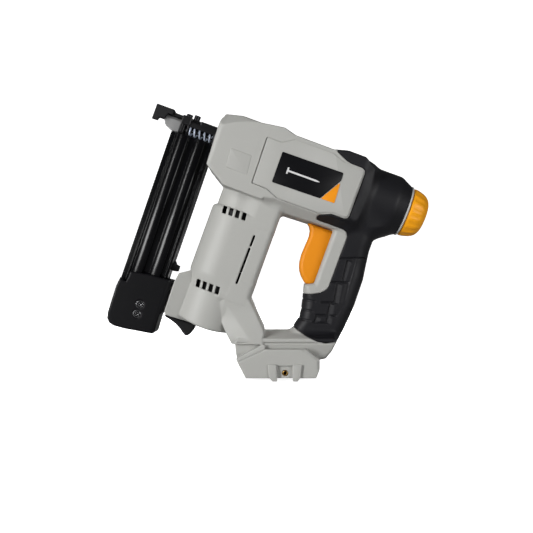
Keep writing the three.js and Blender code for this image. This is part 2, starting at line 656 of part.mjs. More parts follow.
const MAG_FLAT = 10.4; // y of the flats between the ribs
const RAIL_TAIL = [
  [-45, -110], [-41.6, -114], [-38.3, -114.6], [-38.2, -119.8], [-41.8, -120.6], [-45, -120.6],
];
const END_CAP = [
  [-77.4, -132.6], [-60.2, -129.8], [-49.6, -129.2], [-39.4, -128.4], [-38.4, -132],
  [-38.4, -174.8], [-40, -177.6], [-66, -182.8], [-76.1, -184], [-80.6, -182.6],
  [-83.6, -178.6], [-85.2, -148.8], [-84.2, -140.5], [-77.6, -139.4],
];
const CAP_CAVITY = [
  [-82.4, -151], [-41.4, -151], [-41.4, -175], [-64, -179.6], [-78, -180.6], [-81.4, -177],
];
const CAP_SCREWS = [[-59.3, -158.2], [-59, -167]]; // [x, z]

// (x, y) section of one half of the magazine; its inner face is at y = inner.
function magazineSection(side, inner) {
  const flat = side * MAG_FLAT;
  const crest = side * MAG_HW;
  const shoulder = (flat + crest) / 2 + side * 0.5;
  const rib = (x0, x1) => [
    [x0, flat], [x0 + 0.5, shoulder], [x0 + 1.8, crest],
    [x1 - 1.8, crest], [x1 - 0.5, shoulder], [x1, flat],
  ];
  return [
    [-84.4, inner], [-84.4, side * 8.6], [-83, flat], [-80, flat],
    ...rib(-77.2, -66.2), ...rib(-61.2, -50.2),
    [-47.6, flat], [-46.4, side * 11.6], [-44.8, side * 11.6], [-44.1, flat], [-44.1, inner],
  ];
}
const magazineCover = () => cut(
  tower(magazineSection(-1, -1), -146, -0.6),
  box(-80.4, -46.6, -8.6, 0, -160, 10),
);
const magazineRail = () => join(
  cut(tower(magazineSection(1, 0.9), -143, -0.6), box(-78, -48, 3.6, 8.6, -160, 10)),
  prism(RAIL_TAIL, 1.2, 8),
);
// Wraps the end of the magazine and closes it.
function endCap() {
  const hollow = cut(
    midPrism(END_CAP, 15.2, 1.2),
    midBox(-84.9, -43.6, 13.5, -147.4, -100), // magazine pocket
    box(-80.2, -77.6, -30, -12, -147, -100), // slot in the left wall
    midBox(-78, -66, 9, -152, -146), // two openings into the cavity
    midBox(-52, -44, 9, -152, -146),
    prism(CAP_CAVITY, -12.6, 12.8),
  );
  return cut(
    join(hollow, join(...CAP_SCREWS.map((centre) => rod("y", 4.8, -13.6, 13, 16, centre)))),
    ...CAP_SCREWS.map((centre) => rod("y", 4.1, -20, -13.8, 16, centre)), // head recesses
    ...CAP_SCREWS.map((centre) => rod("y", 1.7, -20, 6, 10, centre)),
  );
}
const nailPusher = cut(box(-80, -47, -8.2, 0.5, -22, -6), box(-72, -55, -6, 0, -30, -10));

addToMagazine("magazine_cover", magazineCover(), "black_metal");
addToMagazine("magazine_rail", magazineRail(), "black_metal");
addToMagazine("nail_pusher", nailPusher, "steel");
addToMagazine("pusher_spring_roll", rod("x", 2.7, -71.4, -55.6, 14, [-3, -13.4]), "steel");
addToMagazine("magazine_end_cap", endCap(), "black_plastic");
CAP_SCREWS.forEach((centre, i) => {
  const screw = hexScrew("y", centre, [3.7, -15.6, -13.9], [1.4, -14, 4], [1.5, -16, -14.7]);
  addToMagazine("end_cap_screw_" + (i + 1), screw, "zinc_screw");
});

// Latch slider under the bracket, in the tool frame, [x, z]
const LATCH = [
  [-33.4, -166.6], [-32.8, -168], [-25, -168.4], [-19.6, -170], [-14, -173.4],
  [-8.2, -177.2], [-5.3, -174.6], [-3.2, -167], [-3.6, -166.4],
];
const latch = join(midPrism(LATCH, 7, 0.6), midBox(-28, -14, 5.8, -167, -160.4));
add("magazine_latch", latch, "black_plastic");

// ---- trigger and electrics: outlines as [x, z] -----------------------------------
const TRIGGER = [
  [60.6, -41.2], [64.6, -40.4], [81, -40.4], [83.6, -41.4], [84.2, -44], [84.2, -87.2],
  [82.8, -91.4], [80.4, -93], [78.4, -93.2], [75.2, -91.8], [71.4, -88.2], [68.9, -84.6],
  [66.9, -80.2], [65.8, -75.4], [65.4, -69.8], [65.5, -64], [65.9, -58], [66.2, -51.5],
  [65.1, -46.4], [63.1, -43],
];
const TRIGGER_BACK = [
  [80, -42], [93.6, -42], [94.4, -48], [90.6, -60], [90.6, -84], [84, -88], [80, -86],
];
const TRIGGER_HW = 10.8;
const TRIGGER_PIVOT = [89.6, -47];

function trigger() {
  const plan = rounded(60, 100, -TRIGGER_HW, TRIGGER_HW, 4);
  const face = midPrism(TRIGGER, TRIGGER_HW).intersect(tower(plan, -100, -30));
  return cut(join(face, midPrism(TRIGGER_BACK, 6)), rod("y", 2.3, -20, 20, 14, TRIGGER_PIVOT));
}
const triggerSwitch = cut(
  midBox(98.4, 112, 8, -86, -60),
  midBox(96, 107, 3.4, -78.4, -67.6), // plunger bore
);
add("trigger", trigger(), "orange_plastic");
add("trigger_pin", rod("y", 2, -15.2, 15.2, 12, TRIGGER_PIVOT), "steel");
add("trigger_switch", triggerSwitch, "black_plastic");
add("switch_plunger", midBox(91, 103.6, 3, -78, -68), "white_plastic");
add("control_board", box(92, 116, -1, 0.8, -133, -119), "board_green");

// ---- battery interface, in the level frame ----------------------------------------
const TERMINAL_Y = { positive: -12, negative: 12 };

const batteryRail = cut(
  levelBox(-29.2, 33.4, -29.3, 29.3, 2.4, 13.6),
  levelBox(-26.6, 42, -23, 23, -10, 6.6), // opening between the rails
  levelBox(-26.6, 42, -26, 26, 6.5, 11), // wider groove above it
);
add("battery_rail", batteryRail, "black_plastic");
add("terminal_block", levelBox(-26.2, -8, -20, 20, 4.2, 10.7), "black_plastic");
for (const [name, y] of Object.entries(TERMINAL_Y)) {
  add("terminal_" + name, levelBox(-7.6, 6, y - 0.4, y + 0.4, 4.6, 10.4), "copper");
}

export default tool;
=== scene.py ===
"""Cordless brad nailer: moulded housing with soft grip, magazine, nose, trigger and springs.

World frame in metres, +Z up, the nose towards -X and the left side towards -Y. Lengths in this
script are millimetres unless they belong to materials, modifiers or the stage. Most of the forms
are signed distance fields (negative inside), turned into meshes by surface nets.
"""

import math
from functools import reduce

import bmesh
import bpy
import numpy as np
from mathutils import Matrix, Vector


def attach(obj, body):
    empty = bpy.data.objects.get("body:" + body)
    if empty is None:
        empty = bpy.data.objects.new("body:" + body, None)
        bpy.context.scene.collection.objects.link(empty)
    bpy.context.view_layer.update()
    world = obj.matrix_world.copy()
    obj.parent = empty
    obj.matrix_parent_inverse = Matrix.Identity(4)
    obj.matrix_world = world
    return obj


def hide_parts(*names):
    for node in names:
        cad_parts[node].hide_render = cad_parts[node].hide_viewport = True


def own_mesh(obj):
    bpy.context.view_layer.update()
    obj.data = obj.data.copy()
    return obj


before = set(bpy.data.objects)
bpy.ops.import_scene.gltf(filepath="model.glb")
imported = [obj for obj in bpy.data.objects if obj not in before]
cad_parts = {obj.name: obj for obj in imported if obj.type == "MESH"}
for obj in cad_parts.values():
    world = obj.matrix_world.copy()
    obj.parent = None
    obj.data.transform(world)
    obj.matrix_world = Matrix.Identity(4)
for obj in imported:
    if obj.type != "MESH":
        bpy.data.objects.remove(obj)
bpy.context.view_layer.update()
F32 = np.float32

# ------------------------------------------------------------------ frames
# Tool frame: x along the drive axis to the back, z up through the head, y = 0 on the parting
# plane. Level frame: axes along the world's, used for the foot.
LEAN = math.radians(20)
COS_LEAN, SIN_LEAN = math.cos(LEAN), math.sin(LEAN)
TOOL_X, TOOL_Z = -8.2, 198.9  # tool origin in the world
LEVEL_X, LEVEL_Z = -15.1, 196.9  # tool origin in the level frame
MAGAZINE_X, MAGAZINE_Z = -63, -4  # magazine origin in the tool frame
TOOL = (
    Matrix.Translation((TOOL_X / 1000, 0, TOOL_Z / 1000))
    @ Matrix.Rotation(LEAN, 4, "Y")
    @ Matrix.Scale(0.001, 4)
)
MAGAZINE = (
    TOOL
    @ Matrix.Translation((MAGAZINE_X, 0, MAGAZINE_Z))
    @ Matrix.Rotation(math.radians(-1), 4, "Y")
)
SIDES = (("left", -1), ("right", 1))


def from_level(points):
    """Level-frame (x, z) points in the tool frame."""
    out = []
    for x, z in points:
        dx, dz = x - LEVEL_X, z - LEVEL_Z
        out.append((dx * COS_LEAN - dz * SIN_LEAN, dx * SIN_LEAN + dz * COS_LEAN))
    return out


def mag(x):
    """Tool x measured from the magazine origin."""
    return x - MAGAZINE_X


# ------------------------------------------------------------------ distance fields
def meet(a, b, radius=0):
    """Intersection, its edge rounded by radius (a number or an array)."""
    if isinstance(radius, (int, float)) and radius <= 0:
        return np.maximum(a, b)
    corner = np.hypot(np.maximum(a + radius, 0), np.maximum(b + radius, 0))
    return np.minimum(np.maximum(a, b), -radius) + corner


def join(a, b, radius=0):
    """Union with a fillet."""
    return -meet(-a, -b, radius)


def carve(a, b, radius=0):
    """a with b taken out of it."""
    return meet(a, -b, radius)


def nearest(fields):
    return reduce(np.minimum, fields)


def between(value, low, high):
    """Distance field of the slab low < value < high."""
    return np.maximum(low - value, value - high)


def ramp(start, end, value):
    """Eased step from 0 at start to 1 at end."""
    t = np.clip((value - start) / (end - start), 0, 1)
    return t * t * (3 - 2 * t)


def segment_squared(x, z, first, second):
    """Squared distance to the segment from first to second."""
    run_x, run_z = second[0] - first[0], second[1] - first[1]
    dx, dz = x - first[0], z - first[1]
    t = np.clip((dx * run_x + dz * run_z) / (run_x * run_x + run_z * run_z + 1e-12), 0, 1)
    return (dx - run_x * t) ** 2 + (dz - run_z * t) ** 2


def polyline(x, z, points):
    squared = nearest(segment_squared(x, z, a, b) for a, b in zip(points[:-1], points[1:]))
    return np.sqrt(squared).astype(F32)


def polygon(x, z, points):
    """Signed distance to a closed outline."""
    sides = [(points[i], points[i - 1]) for i in range(len(points))]
    squared = nearest(segment_squared(x, z, a, b) for a, b in sides)
    sign = F32(1)
    for (x1, z1), (x2, z2) in sides:
        above, below = z >= z1, z < z2
        left = (x2 - x1) * (z - z1) > (z2 - z1) * (x - x1)
        sign = np.where((above & below & left) | (~above & ~below & ~left), -sign, sign)
    return (sign * np.sqrt(squared)).astype(F32)


class Grid:
    """Sample points filling a box, with the fields most often drawn on them."""

    def __init__(self, low, high, spacing):
        self.spacing = spacing
        self.low = np.array(low, float)
        self.axes = [
            np.arange(a, b + spacing * 0.999, spacing, dtype=np.float64).astype(F32)
            for a, b in zip(low, high)
        ]
        self.x = self.axes[0][:, None, None]
        self.y = self.axes[1][None, :, None]
        self.z = self.axes[2][None, None, :]
        self.across = np.abs(self.y)
        self.level_x = self.x * F32(COS_LEAN) + self.z * F32(SIN_LEAN) + F32(LEVEL_X)
        self.level_z = -self.x * F32(SIN_LEAN) + self.z * F32(COS_LEAN) + F32(LEVEL_Z)

    def outline(self, points):
        """Closed (x, z) outline, endless in y."""
        return polygon(self.axes[0][:, None], self.axes[2][None, :], points)[:, None, :]

    def plan(self, points):
        """Closed (x, y) outline, endless in z."""
        return polygon(self.axes[0][:, None], self.axes[1][None, :], points)[:, :, None]

    def line(self, points):
        """Distance to an open (x, z) line."""
        return polyline(self.axes[0][:, None], self.axes[2][None, :], points)[:, None, :]

    def height(self, points):
        """z along x, from a table of (x, z)."""
        return np.interp(self.axes[0], *zip(*points)).astype(F32)[:, None, None]

    def bore(self, centre, radius):
        """Endless cylinder along y."""
        return np.hypot(self.x - centre[0], self.z - centre[1]) - radius

    def box(self, x_span, y_span, z_span, radius=0):
        sides = meet(between(self.x, *x_span), between(self.y, *y_span), radius)
        return meet(sides, between(self.z, *z_span), radius)

    def rod(self, axis, radius, start, end, at=(0, 0), edge=0):
        x, y, z = self.x, self.y, self.z
        along, first, second = {"x": (x, y, z), "y": (y, x, z), "z": (z, x, y)}[axis]
        round_part = np.hypot(first - at[0], second - at[1]) - radius
        return meet(round_part, between(along, start, end), edge)


def trilinear(field, points):
    """Field values at grid coordinates (N, 3)."""
    cell = np.clip(np.floor(points).astype(np.int64), 0, np.array(field.shape) - 2)
    part = (points - cell).astype(F32)
    strides = np.array([field.shape[1] * field.shape[2], field.shape[2], 1])
    flat = field.reshape(-1)
    base = cell @ strides
    out = 0
    for corner in np.ndindex(2, 2, 2):
        weight = np.where(corner, part, 1 - part)
        value = flat[base + np.dot(corner, strides)]
        out = out + weight[:, 0] * weight[:, 1] * weight[:, 2] * value
    return out


def surface(field, grid):
    """Surface nets of the zero level: vertices (N, 3) in mm and quads (M, 4) facing out."""
    field = np.ascontiguousarray(field, F32)
    field[np.abs(field) < 1e-5] = 1e-5
    # the border of the grid counts as outside
    for axis in range(3):
        for end in (0, -1):
            border = [slice(None)] * 3
            border[axis] = end
            field[tuple(border)] = np.maximum(field[tuple(border)], 1e-3)
    inside = field < 0
    strides = np.array([field.shape[1] * field.shape[2], field.shape[2], 1])
    quads, cells, crossings = [], [], []
    for axis in range(3):
        near, far = [slice(None)] * 3, [slice(None)] * 3
        near[axis], far[axis] = slice(0, -1), slice(1, None)
        near, far = tuple(near), tuple(far)
        edges = np.nonzero(inside[near] != inside[far])
        a, b = field[near][edges], field[far][edges]
        index = np.stack(edges, 1)
        point = index.astype(np.float64)
        point[:, axis] += a / (a - b)
        # the four cells round each crossed edge
        step_b, step_c = strides[(axis + 1) % 3], strides[(axis + 2) % 3]
        ring = (index @ strides)[:, None] + np.array([-step_b - step_c, -step_c, 0, -step_b])
        quads.append(np.where(inside[near][edges][:, None], ring, ring[:, ::-1]))
        cells.append(ring.reshape(-1))
        crossings.append(np.repeat(point, 4, axis=0))
    crossings = np.concatenate(crossings)
    used, inverse = np.unique(np.concatenate(cells), return_inverse=True)
    count = np.bincount(inverse)
    start = np.stack(
        [np.bincount(inverse, weights=crossings[:, i]) / count for i in range(3)], 1
    )
    quads = np.searchsorted(used, np.concatenate(quads))
    # pull the vertices onto the surface, each staying near its cell's mean point
    verts = start
    reach = 0.35
    for _ in range(3):
        value = trilinear(field, verts)
        slope = np.stack(
            [trilinear(field, verts + d) - trilinear(field, verts - d) for d in np.eye(3) * reach],
            1,
        ) / (2 * reach)
        steepness = (slope**2).sum(1) + 1e-6
        verts = verts - (value / steepness)[:, None] * slope
        verts = start + np.clip(verts - start, -0.45, 0.45)
    return grid.low + verts * grid.spacing, quads


# ------------------------------------------------------------------ materials
def feed(tree, node, inputs):
    """Sets a node's inputs: sockets are linked, other values become defaults."""
    for key, value in inputs.items():
        if isinstance(value, bpy.types.NodeSocket):
            tree.links.new(value, node.inputs[key])
        else:
            node.inputs[key].default_value = value


def add_node(tree, kind, inputs, **settings):
    node = tree.nodes.new(kind)
    for key, value in settings.items():
        setattr(node, key, value)
    feed(tree, node, inputs)
    return node


def srgb(*channels):
    def linear(c):
        return c / 12.92 if c <= 0.04045 else ((c + 0.055) / 1.055) ** 2.4

    return tuple(linear(c / 255) for c in channels) + (1.0,)


def material(
    name, colour, rough, metal=0.0, grain=900, bump=0.15, vary=0.05, edge_wear_and_glint=0.0, edge_wear_and_glint_colour=None,
    spec=0.5, stretch=None, rough_vary=0.08,
):
    """Noise-varied surface; the edge colour mixed onto edges is partly wear and partly a painted
    highlight, and hollows are darkened as painted shade.

    grain is the scale of the fine noise, stretch its scale per axis, and vary and rough_vary
    the swing of colour and roughness.
    """
    mat = bpy.data.materials.new(name)
    mat.use_nodes = True
    tree = mat.node_tree
    shader = tree.nodes["Principled BSDF"]
    place = tree.nodes.new("ShaderNodeTexCoord").outputs["Object"]
    fine_place = place
    if stretch:
        mapping = add_node(tree, "ShaderNodeMapping", {"Scale": stretch, "Vector": place})
        fine_place = mapping.outputs["Vector"]
    fine = add_node(
        tree, "ShaderNodeTexNoise", {"Scale": grain, "Detail": 3, "Vector": fine_place}
    )
    slow = add_node(tree, "ShaderNodeTexNoise", {"Scale": 18, "Detail": 4, "Vector": place})
    tones = {
        "A": tuple(c * (1 - vary) for c in colour[:3]) + (1,),
        "B": tuple(min(1, c * (1 + vary)) for c in colour[:3]) + (1,),
    }
    mix = add_node(tree, "ShaderNodeMix", tones, data_type="RGBA")
    # noise = 0.45 fine + 0.55 slow
    noise = add_node(
        tree, "ShaderNodeMath", {0: fine.outputs["Fac"], 1: 0.45}, operation="MULTIPLY_ADD"
    )
    slow_share = add_node(
        tree, "ShaderNodeMath", {0: slow.outputs["Fac"], 1: 0.55}, operation="MULTIPLY"
    )
    feed(tree, noise, {2: slow_share.outputs[0]})
    feed(tree, mix, {"Factor": noise.outputs[0]})
    result = mix.outputs["Result"]
    if edge_wear_and_glint_colour:
        # edges take the paler edge colour: partly wear, partly a painted highlight
        pointiness = tree.nodes.new("ShaderNodeNewGeometry").outputs["Pointiness"]
        edge = add_node(
            tree, "ShaderNodeMapRange",
            {"From Min": 0.515, "From Max": 0.60, "Value": pointiness},
        )
        amount = add_node(
            tree, "ShaderNodeMath", {0: edge.outputs[0], 1: edge_wear_and_glint}, operation="MULTIPLY"
        )
        edge_wear_and_glint_mix = add_node(
            tree, "ShaderNodeMix", {"Factor": amount.outputs[0], "A": result, "B": edge_wear_and_glint_colour},
            data_type="RGBA",
        )
        # hollows are darkened: painted shade
        painted_hollow_shade = add_node(
            tree, "ShaderNodeMapRange",
            {"From Min": 0.36, "From Max": 0.485, "To Min": 0.35, "Value": pointiness},
        )
        hollow_shade_multiply = add_node(
            tree, "ShaderNodeMix",
            {"Factor": 1.0, "A": edge_wear_and_glint_mix.outputs["Result"], "B": painted_hollow_shade.outputs[0]},
            data_type="RGBA", blend_type="MULTIPLY",
        )
        result = hollow_shade_multiply.outputs["Result"]
    rough_range = {
        "To Min": rough - rough_vary, "To Max": rough + rough_vary, "Value": noise.outputs[0]
    }
    roughness = add_node(tree, "ShaderNodeMapRange", rough_range)
    bumps = add_node(
        tree, "ShaderNodeBump",
        {"Strength": bump, "Distance": 0.00015, "Height": fine.outputs["Fac"]},
    )
    feed(tree, shader, {
        "Base Color": result,
        "Roughness": roughness.outputs[0],
        "Metallic": metal,
        "Specular IOR Level": spec,
        "Coat Roughness": 0.15,
        "Normal": bumps.outputs["Normal"],
    })
    return mat


MATERIALS = {
    "grey": material("moulded_grey", srgb(170, 170, 166), 0.5, grain=1400, bump=0.22,
                     vary=0.025, edge_wear_and_glint=0.25, edge_wear_and_glint_colour=srgb(200, 200, 197), spec=0.4),
    "soft": material("soft_black", srgb(20, 20, 24), 0.52, grain=1700, bump=0.35,
                     vary=0.12, edge_wear_and_glint=0.18, edge_wear_and_glint_colour=srgb(38, 38, 42), spec=0.3),
    "orange": material("moulded_orange", srgb(255, 168, 16), 0.42, grain=1300,
                       edge_wear_and_glint=0.2, edge_wear_and_glint_colour=srgb(250, 170, 40), spec=0.35),
    "trigger": material("trigger_orange", srgb(226, 138, 10), 0.5, grain=1300, spec=0.3),
    "label": material("label_film", srgb(13, 13, 16), 0.34, grain=700, bump=0.04,
                      vary=0.06, spec=0.2),
    "label_orange": material("label_orange", srgb(236, 146, 14), 0.35, grain=700, bump=0.04,
                             vary=0.04),
    "label_pale": material("label_pale", srgb(214, 214, 214), 0.35, grain=700, bump=0.04,
                           vary=0.03),
    "black": material("black_plastic", srgb(11, 11, 13), 0.42, grain=1500, bump=0.25,
                      vary=0.1, edge_wear_and_glint=0.35, edge_wear_and_glint_colour=srgb(52, 52, 56), spec=0.4),
    "cap": material("cap_plastic", srgb(6, 6, 9), 0.42, grain=1500, bump=0.3,
                    vary=0.1, edge_wear_and_glint=0.4, edge_wear_and_glint_colour=srgb(40, 40, 46), spec=0.2),
    "anodised": material("black_anodised", srgb(5, 5, 7), 0.2, grain=500, bump=0.02,
                         vary=0.15, spec=0.21, stretch=(6, 6, 0.25), rough_vary=0.04),
    "blackened": material("blackened_steel", srgb(6, 6, 8), 0.36, metal=0.1, grain=1100,
                          bump=0.2, vary=0.15, edge_wear_and_glint=0.5, edge_wear_and_glint_colour=srgb(64, 64, 68)),
    "cast": material("cast_silver", srgb(150, 150, 150), 0.45, metal=0.5, bump=0.25,
                     vary=0.06, edge_wear_and_glint=0.3, edge_wear_and_glint_colour=srgb(215, 215, 215)),
    "steel": material("machined_steel", srgb(150, 152, 156), 0.3, metal=1.0, grain=600,
                      bump=0.1, vary=0.06, stretch=(1, 8, 1)),
    "dark_steel": material("dark_steel", srgb(14, 14, 16), 0.6, metal=0.3, grain=700,
                           bump=0.1, vary=0.08),
    "spring": material("spring_wire", srgb(186, 194, 210), 0.42, metal=0.25, bump=0.05,
                       vary=0.06),
    # black zinc; the pale edge colour paints a glint on the cross-recess edges
    "screw": material("black_zinc", srgb(26, 26, 29), 0.26, metal=0.7, grain=1200, bump=0.1,
                      vary=0.1, edge_wear_and_glint=1.0, edge_wear_and_glint_colour=srgb(205, 205, 208)),
    "brass": material("brass", srgb(190, 150, 82), 0.3, metal=1.0, bump=0.1, vary=0.08),
    "copper": material("plated_copper", srgb(190, 132, 90), 0.3, metal=1.0, bump=0.1,
                       vary=0.08),
    "board": material("solder_mask", srgb(30, 92, 48), 0.4, grain=500, bump=0.1, vary=0.1),
    "rubber": material("rubber", srgb(13, 13, 15), 0.6, grain=1500, bump=0.35, vary=0.12,
                       spec=0.3),
    "white": material("pale_plastic", srgb(196, 196, 194), 0.45, grain=1200, vary=0.03),
}


# ------------------------------------------------------------------ mesh builders
def add_object(name, data):
    ob = bpy.data.objects.new(name, data)
    bpy.context.scene.collection.objects.link(ob)
    return ob


def add_smooth(name, mesh, mat, sharp=None):
    """Smooth-shaded object; edges steeper than sharp degrees stay crisp."""
    mesh.materials.append(MATERIALS[mat])
    for face in mesh.polygons:
        face.use_smooth = True
    if sharp:
        mesh.set_sharp_from_angle(angle=math.radians(sharp))
    return add_object(name, mesh)


def register(ob, body, node):
    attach(ob, body)
    if node:
        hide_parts(node)


def to_mesh(bm, name, pose):
    bm.transform(pose)
    mesh = bpy.data.meshes.new(name)
    bm.to_mesh(mesh)
    bm.free()
    return mesh


def piece(name, field, grid, mat, body="tool_body", node=None, pose=TOOL, flip_y=False):
    """Object from a distance field."""
    verts, quads = surface(field, grid)
    if flip_y:
        verts = verts * np.array([1, -1, 1])
        quads = quads[:, ::-1]
    matrix = np.array(pose)
    verts = verts @ matrix[:3, :3].T + matrix[:3, 3]
    mesh = bpy.data.meshes.new(name)
    mesh.vertices.add(len(verts))
    mesh.vertices.foreach_set("co", verts.astype(F32).reshape(-1))
    count = len(quads)
    mesh.loops.add(count * 4)
    mesh.loops.foreach_set("vertex_index", quads.reshape(-1).astype(np.int32))
    mesh.polygons.add(count)
    mesh.polygons.foreach_set("loop_start", (np.arange(count) * 4).astype(np.int32))
    mesh.polygons.foreach_set("use_smooth", np.full(count, True))
    mesh.update(calc_edges=True)
    mesh.validate()
    mesh.materials.append(MATERIALS[mat])
    register(add_object(name, mesh), body, node)


def rounded(points, radius, steps=4):
    """Outline with its corners turned into arcs."""
    out = []
    for i in range(len(points)):
        corner = Vector(points[i])
        before = Vector(points[i - 1]) - corner
        after = Vector(points[(i + 1) % len(points)]) - corner
        u, w = before.normalized(), after.normalized()
        angle = math.acos(max(-1, min(1, u.dot(w))))
        if angle > math.pi - 0.05:
            out.append(tuple(corner))
            continue
        tangent = min(radius / math.tan(angle / 2), before.length * 0.45, after.length * 0.45)
        fitted = tangent * math.tan(angle / 2)
        centre = corner + (u + w).normalized() * (fitted / math.sin(angle / 2))
        first = corner + u * tangent - centre
        last = corner + w * tangent - centre
        start = math.atan2(first.y, first.x)
        turn = (math.atan2(last.y, last.x) - start + math.pi) % (2 * math.pi) - math.pi
        for k in range(steps + 1):
            theta = start + turn * k / steps
            x = centre.x + fitted * math.cos(theta)
            out.append((x, centre.y + fitted * math.sin(theta)))
    return out


def slab(name, points, start, end, mat, body="tool_body", node=None, pose=TOOL,
         plane="xz", bevel=0.3, segments=2, bevel_angle=25):
    """Outline in the given plane, extruded across it from start to end, with eased edges."""
    bm = bmesh.new()

    def ring(w):
        return [bm.verts.new((p, w, q) if plane == "xz" else (p, q, w)) for p, q in points]

    a, b = ring(start), ring(end)
    bm.faces.new(a)
    bm.faces.new(b[::-1])
    for i in range(len(points)):
        j = (i + 1) % len(points)
        bm.faces.new((a[i], b[i], b[j], a[j]))
    bmesh.ops.recalc_face_normals(bm, faces=bm.faces)
    edges = [e for e in bm.edges if e.calc_face_angle(0) > math.radians(bevel_angle)]
    bmesh.ops.bevel(
        bm, geom=edges, offset=bevel, segments=segments, profile=0.5, affect="EDGES",
        clamp_overlap=True,
    )
    register(add_smooth(name, to_mesh(bm, name, pose), mat, sharp=35), body, node)


def lathe(name, profile, mat, segments, axis="x", at=(0, 0), body="tool_body",
          node=None, pose=TOOL, relief=None, closed=True):
    """Turned piece. profile is (along, radius); relief(along, angle) adds to radii over 1."""
    bm = bmesh.new()
    rings = []
    for along, radius in profile:
        ring = []
        for k in range(segments):
            theta = 2 * math.pi * k / segments
            extra = relief(along, theta) if relief and radius > 1 else 0
            c = max(radius + extra, 0.0) * math.cos(theta)
            s = max(radius + extra, 0.0) * math.sin(theta)
            ring.append(bm.verts.new({
                "x": (along, at[0] + c, at[1] + s),
                "y": (at[0] + s, along, at[1] + c),
                "z": (at[0] + c, at[1] + s, along),
            }[axis]))
        rings.append(ring)
    for i in range(len(rings) if closed else len(rings) - 1):
        a, b = rings[i], rings[(i + 1) % len(rings)]
        for k in range(segments):
            j = (k + 1) % segments
            bm.faces.new((a[k], b[k], b[j], a[j]))
    bmesh.ops.remove_doubles(bm, verts=bm.verts, dist=1e-4)
    bmesh.ops.recalc_face_normals(bm, faces=bm.faces)
    register(add_smooth(name, to_mesh(bm, name, pose), mat, sharp=40), body, node)


def shank(name, radius, start, end, axis, at, body="tool_body", pose=TOOL):
    profile = [(start, 0), (start, radius), (end, radius), (end, 0)]
    lathe(name, profile, "screw", 20, axis, at, body, pose=pose, closed=False)


def spring(name, radius, wire, start, end, turns, at, mat, node,
           segments=28, ring=10, end_turns=1.0):
    """Compression spring along the tool's x, its end turns closed up. wire is a radius."""
    count = int(turns * segments)
    share = end_turns / turns
    lead = (wire * 2.1) / (end - start)
    path = []
    for i in range(count + 1):
        along = np.interp(i / count, [0, share, 1 - share, 1], [0, lead, 1 - lead, 1])
        theta = 2 * math.pi * i / count * turns
        path.append(Vector((
            start + wire + (end - start - 2 * wire) * along,
            at[0] + radius * math.cos(theta),
            at[1] + radius * math.sin(theta),
        )))
    verts, faces = [], []
    for i, centre in enumerate(path):
        tangent = (path[min(i + 1, count)] - path[max(i - 1, 0)]).normalized()
        outward = Vector((0, centre.y - at[0], centre.z - at[1])).normalized()
        sideways = tangent.cross(outward).normalized()
        for k in range(ring):
            theta = 2 * math.pi * k / ring
            offset = outward * wire * math.cos(theta) + sideways * wire * math.sin(theta)
            verts.append(tuple(TOOL @ (centre + offset)))
    for i in range(count):
        a, b = i * ring, (i + 1) * ring
        for k in range(ring):
            j = (k + 1) % ring
            faces.append((a + k, a + j, b + j, b + k))
    faces += [tuple(range(ring))[::-1], tuple(count * ring + k for k in range(ring))]
    mesh = bpy.data.meshes.new(name)
    mesh.from_pydata(verts, [], faces)
    mesh.validate()
    bm = bmesh.new()
    bm.from_mesh(mesh)
    bmesh.ops.recalc_face_normals(bm, faces=bm.faces)
    bm.to_mesh(mesh)
    bm.free()
    ob = add_smooth(name, mesh, mat)
    register(ob, "tool_body", node)
    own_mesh(ob)


# ------------------------------------------------------------------ housing outlines, (x, z)
HEAD_HALF = 34  # half width of the head
COLUMN_HALF = 26.6  # half width of the column below it
COLUMN_BACK = 35.4  # x of the column's rear face
FOOT_HALF = 36  # half width of the foot's lower part
HEAD = [
    (-41.9, 21), (-41.6, 40), (101, 40), (101, -30), (93, -39.5), (60, -40.2), (40, -41),
    (25.9, -41), (15.3, -37.4), (-21.5, -36.8), (-24.2, -35), (-41.5, -24.3), (-43.3, 12.5),
    (-43.0, 18),
]
# heights along the head: roof, lower edge of the upper facets, upper edge of the lower ones
ROOF = [
    (-60, 27.6), (-41.8, 28.1), (-25.8, 32.0), (-8.4, 31.9), (11.8, 34.8), (23.5, 31.9),
    (60.4, 31.6), (72.7, 35.0), (88.2, 34.9), (99.9, 28.6), (110, 23),
]
SHOULDER = [
    (-60, 8), (-38.5, 13.2), (-30.6, 17.8), (-22.1, 21.6), (-13.8, 24.2), (-6.7, 25.8),
    (0, 32), (110, 32),
]
UNDERSIDE = [
    (-60, -60), (8, -46), (16, -34.5), (26, -32.4), (63.5, -31.8), (72, -30.6), (86, -29.5),
    (101, -24),
]
HANDLE = [
    (84.3, -28), (84.3, -90.5), (77.2, -94), (79.2, -102.5), (81.6, -113), (83.3, -124),
    (81.4, -131.3), (81.2, -137), (84, -150), (112, -158), (118.5, -151.1), (121.1, -143.4),
    (124.4, -120), (126.1, -100), (125.6, -72.1), (121.8, -46.9), (121.6, -36), (125, -22),
    (100, -10), (88, -10),
]
BRACKET = [
    (-8, -114), (-24, -117.2), (-33.4, -123.6), (-34.6, -132.7), (-33.9, -160.8),
    (-32, -163.4), (-2, -162.2),
]
STRUT = [
    (12, -108), (35.4, -108), (35.2, -122.8), (55.6, -144.0), (58.2, -148), (57.6, -152.6),
    (60.6, -157.2), (62.6, -160.2), (43.0, -168.0), (42.4, -167.2), (33, -166),
    (26.6, -160.2), (18.6, -152), (12.5, -132), (11.5, -118),
]
FOOT_UPPER = from_level([
    (-37.6, 31), (-37.2, 24), (-35.6, 14.4), (-29, 1.4), (34, 1.4), (37.2, 9), (37.4, 16.6),
    (41.5, 17.4), (47.2, 23.5), (51.8, 32), (50.4, 38), (15, 42.4), (-12, 42.4), (-30, 42),
])
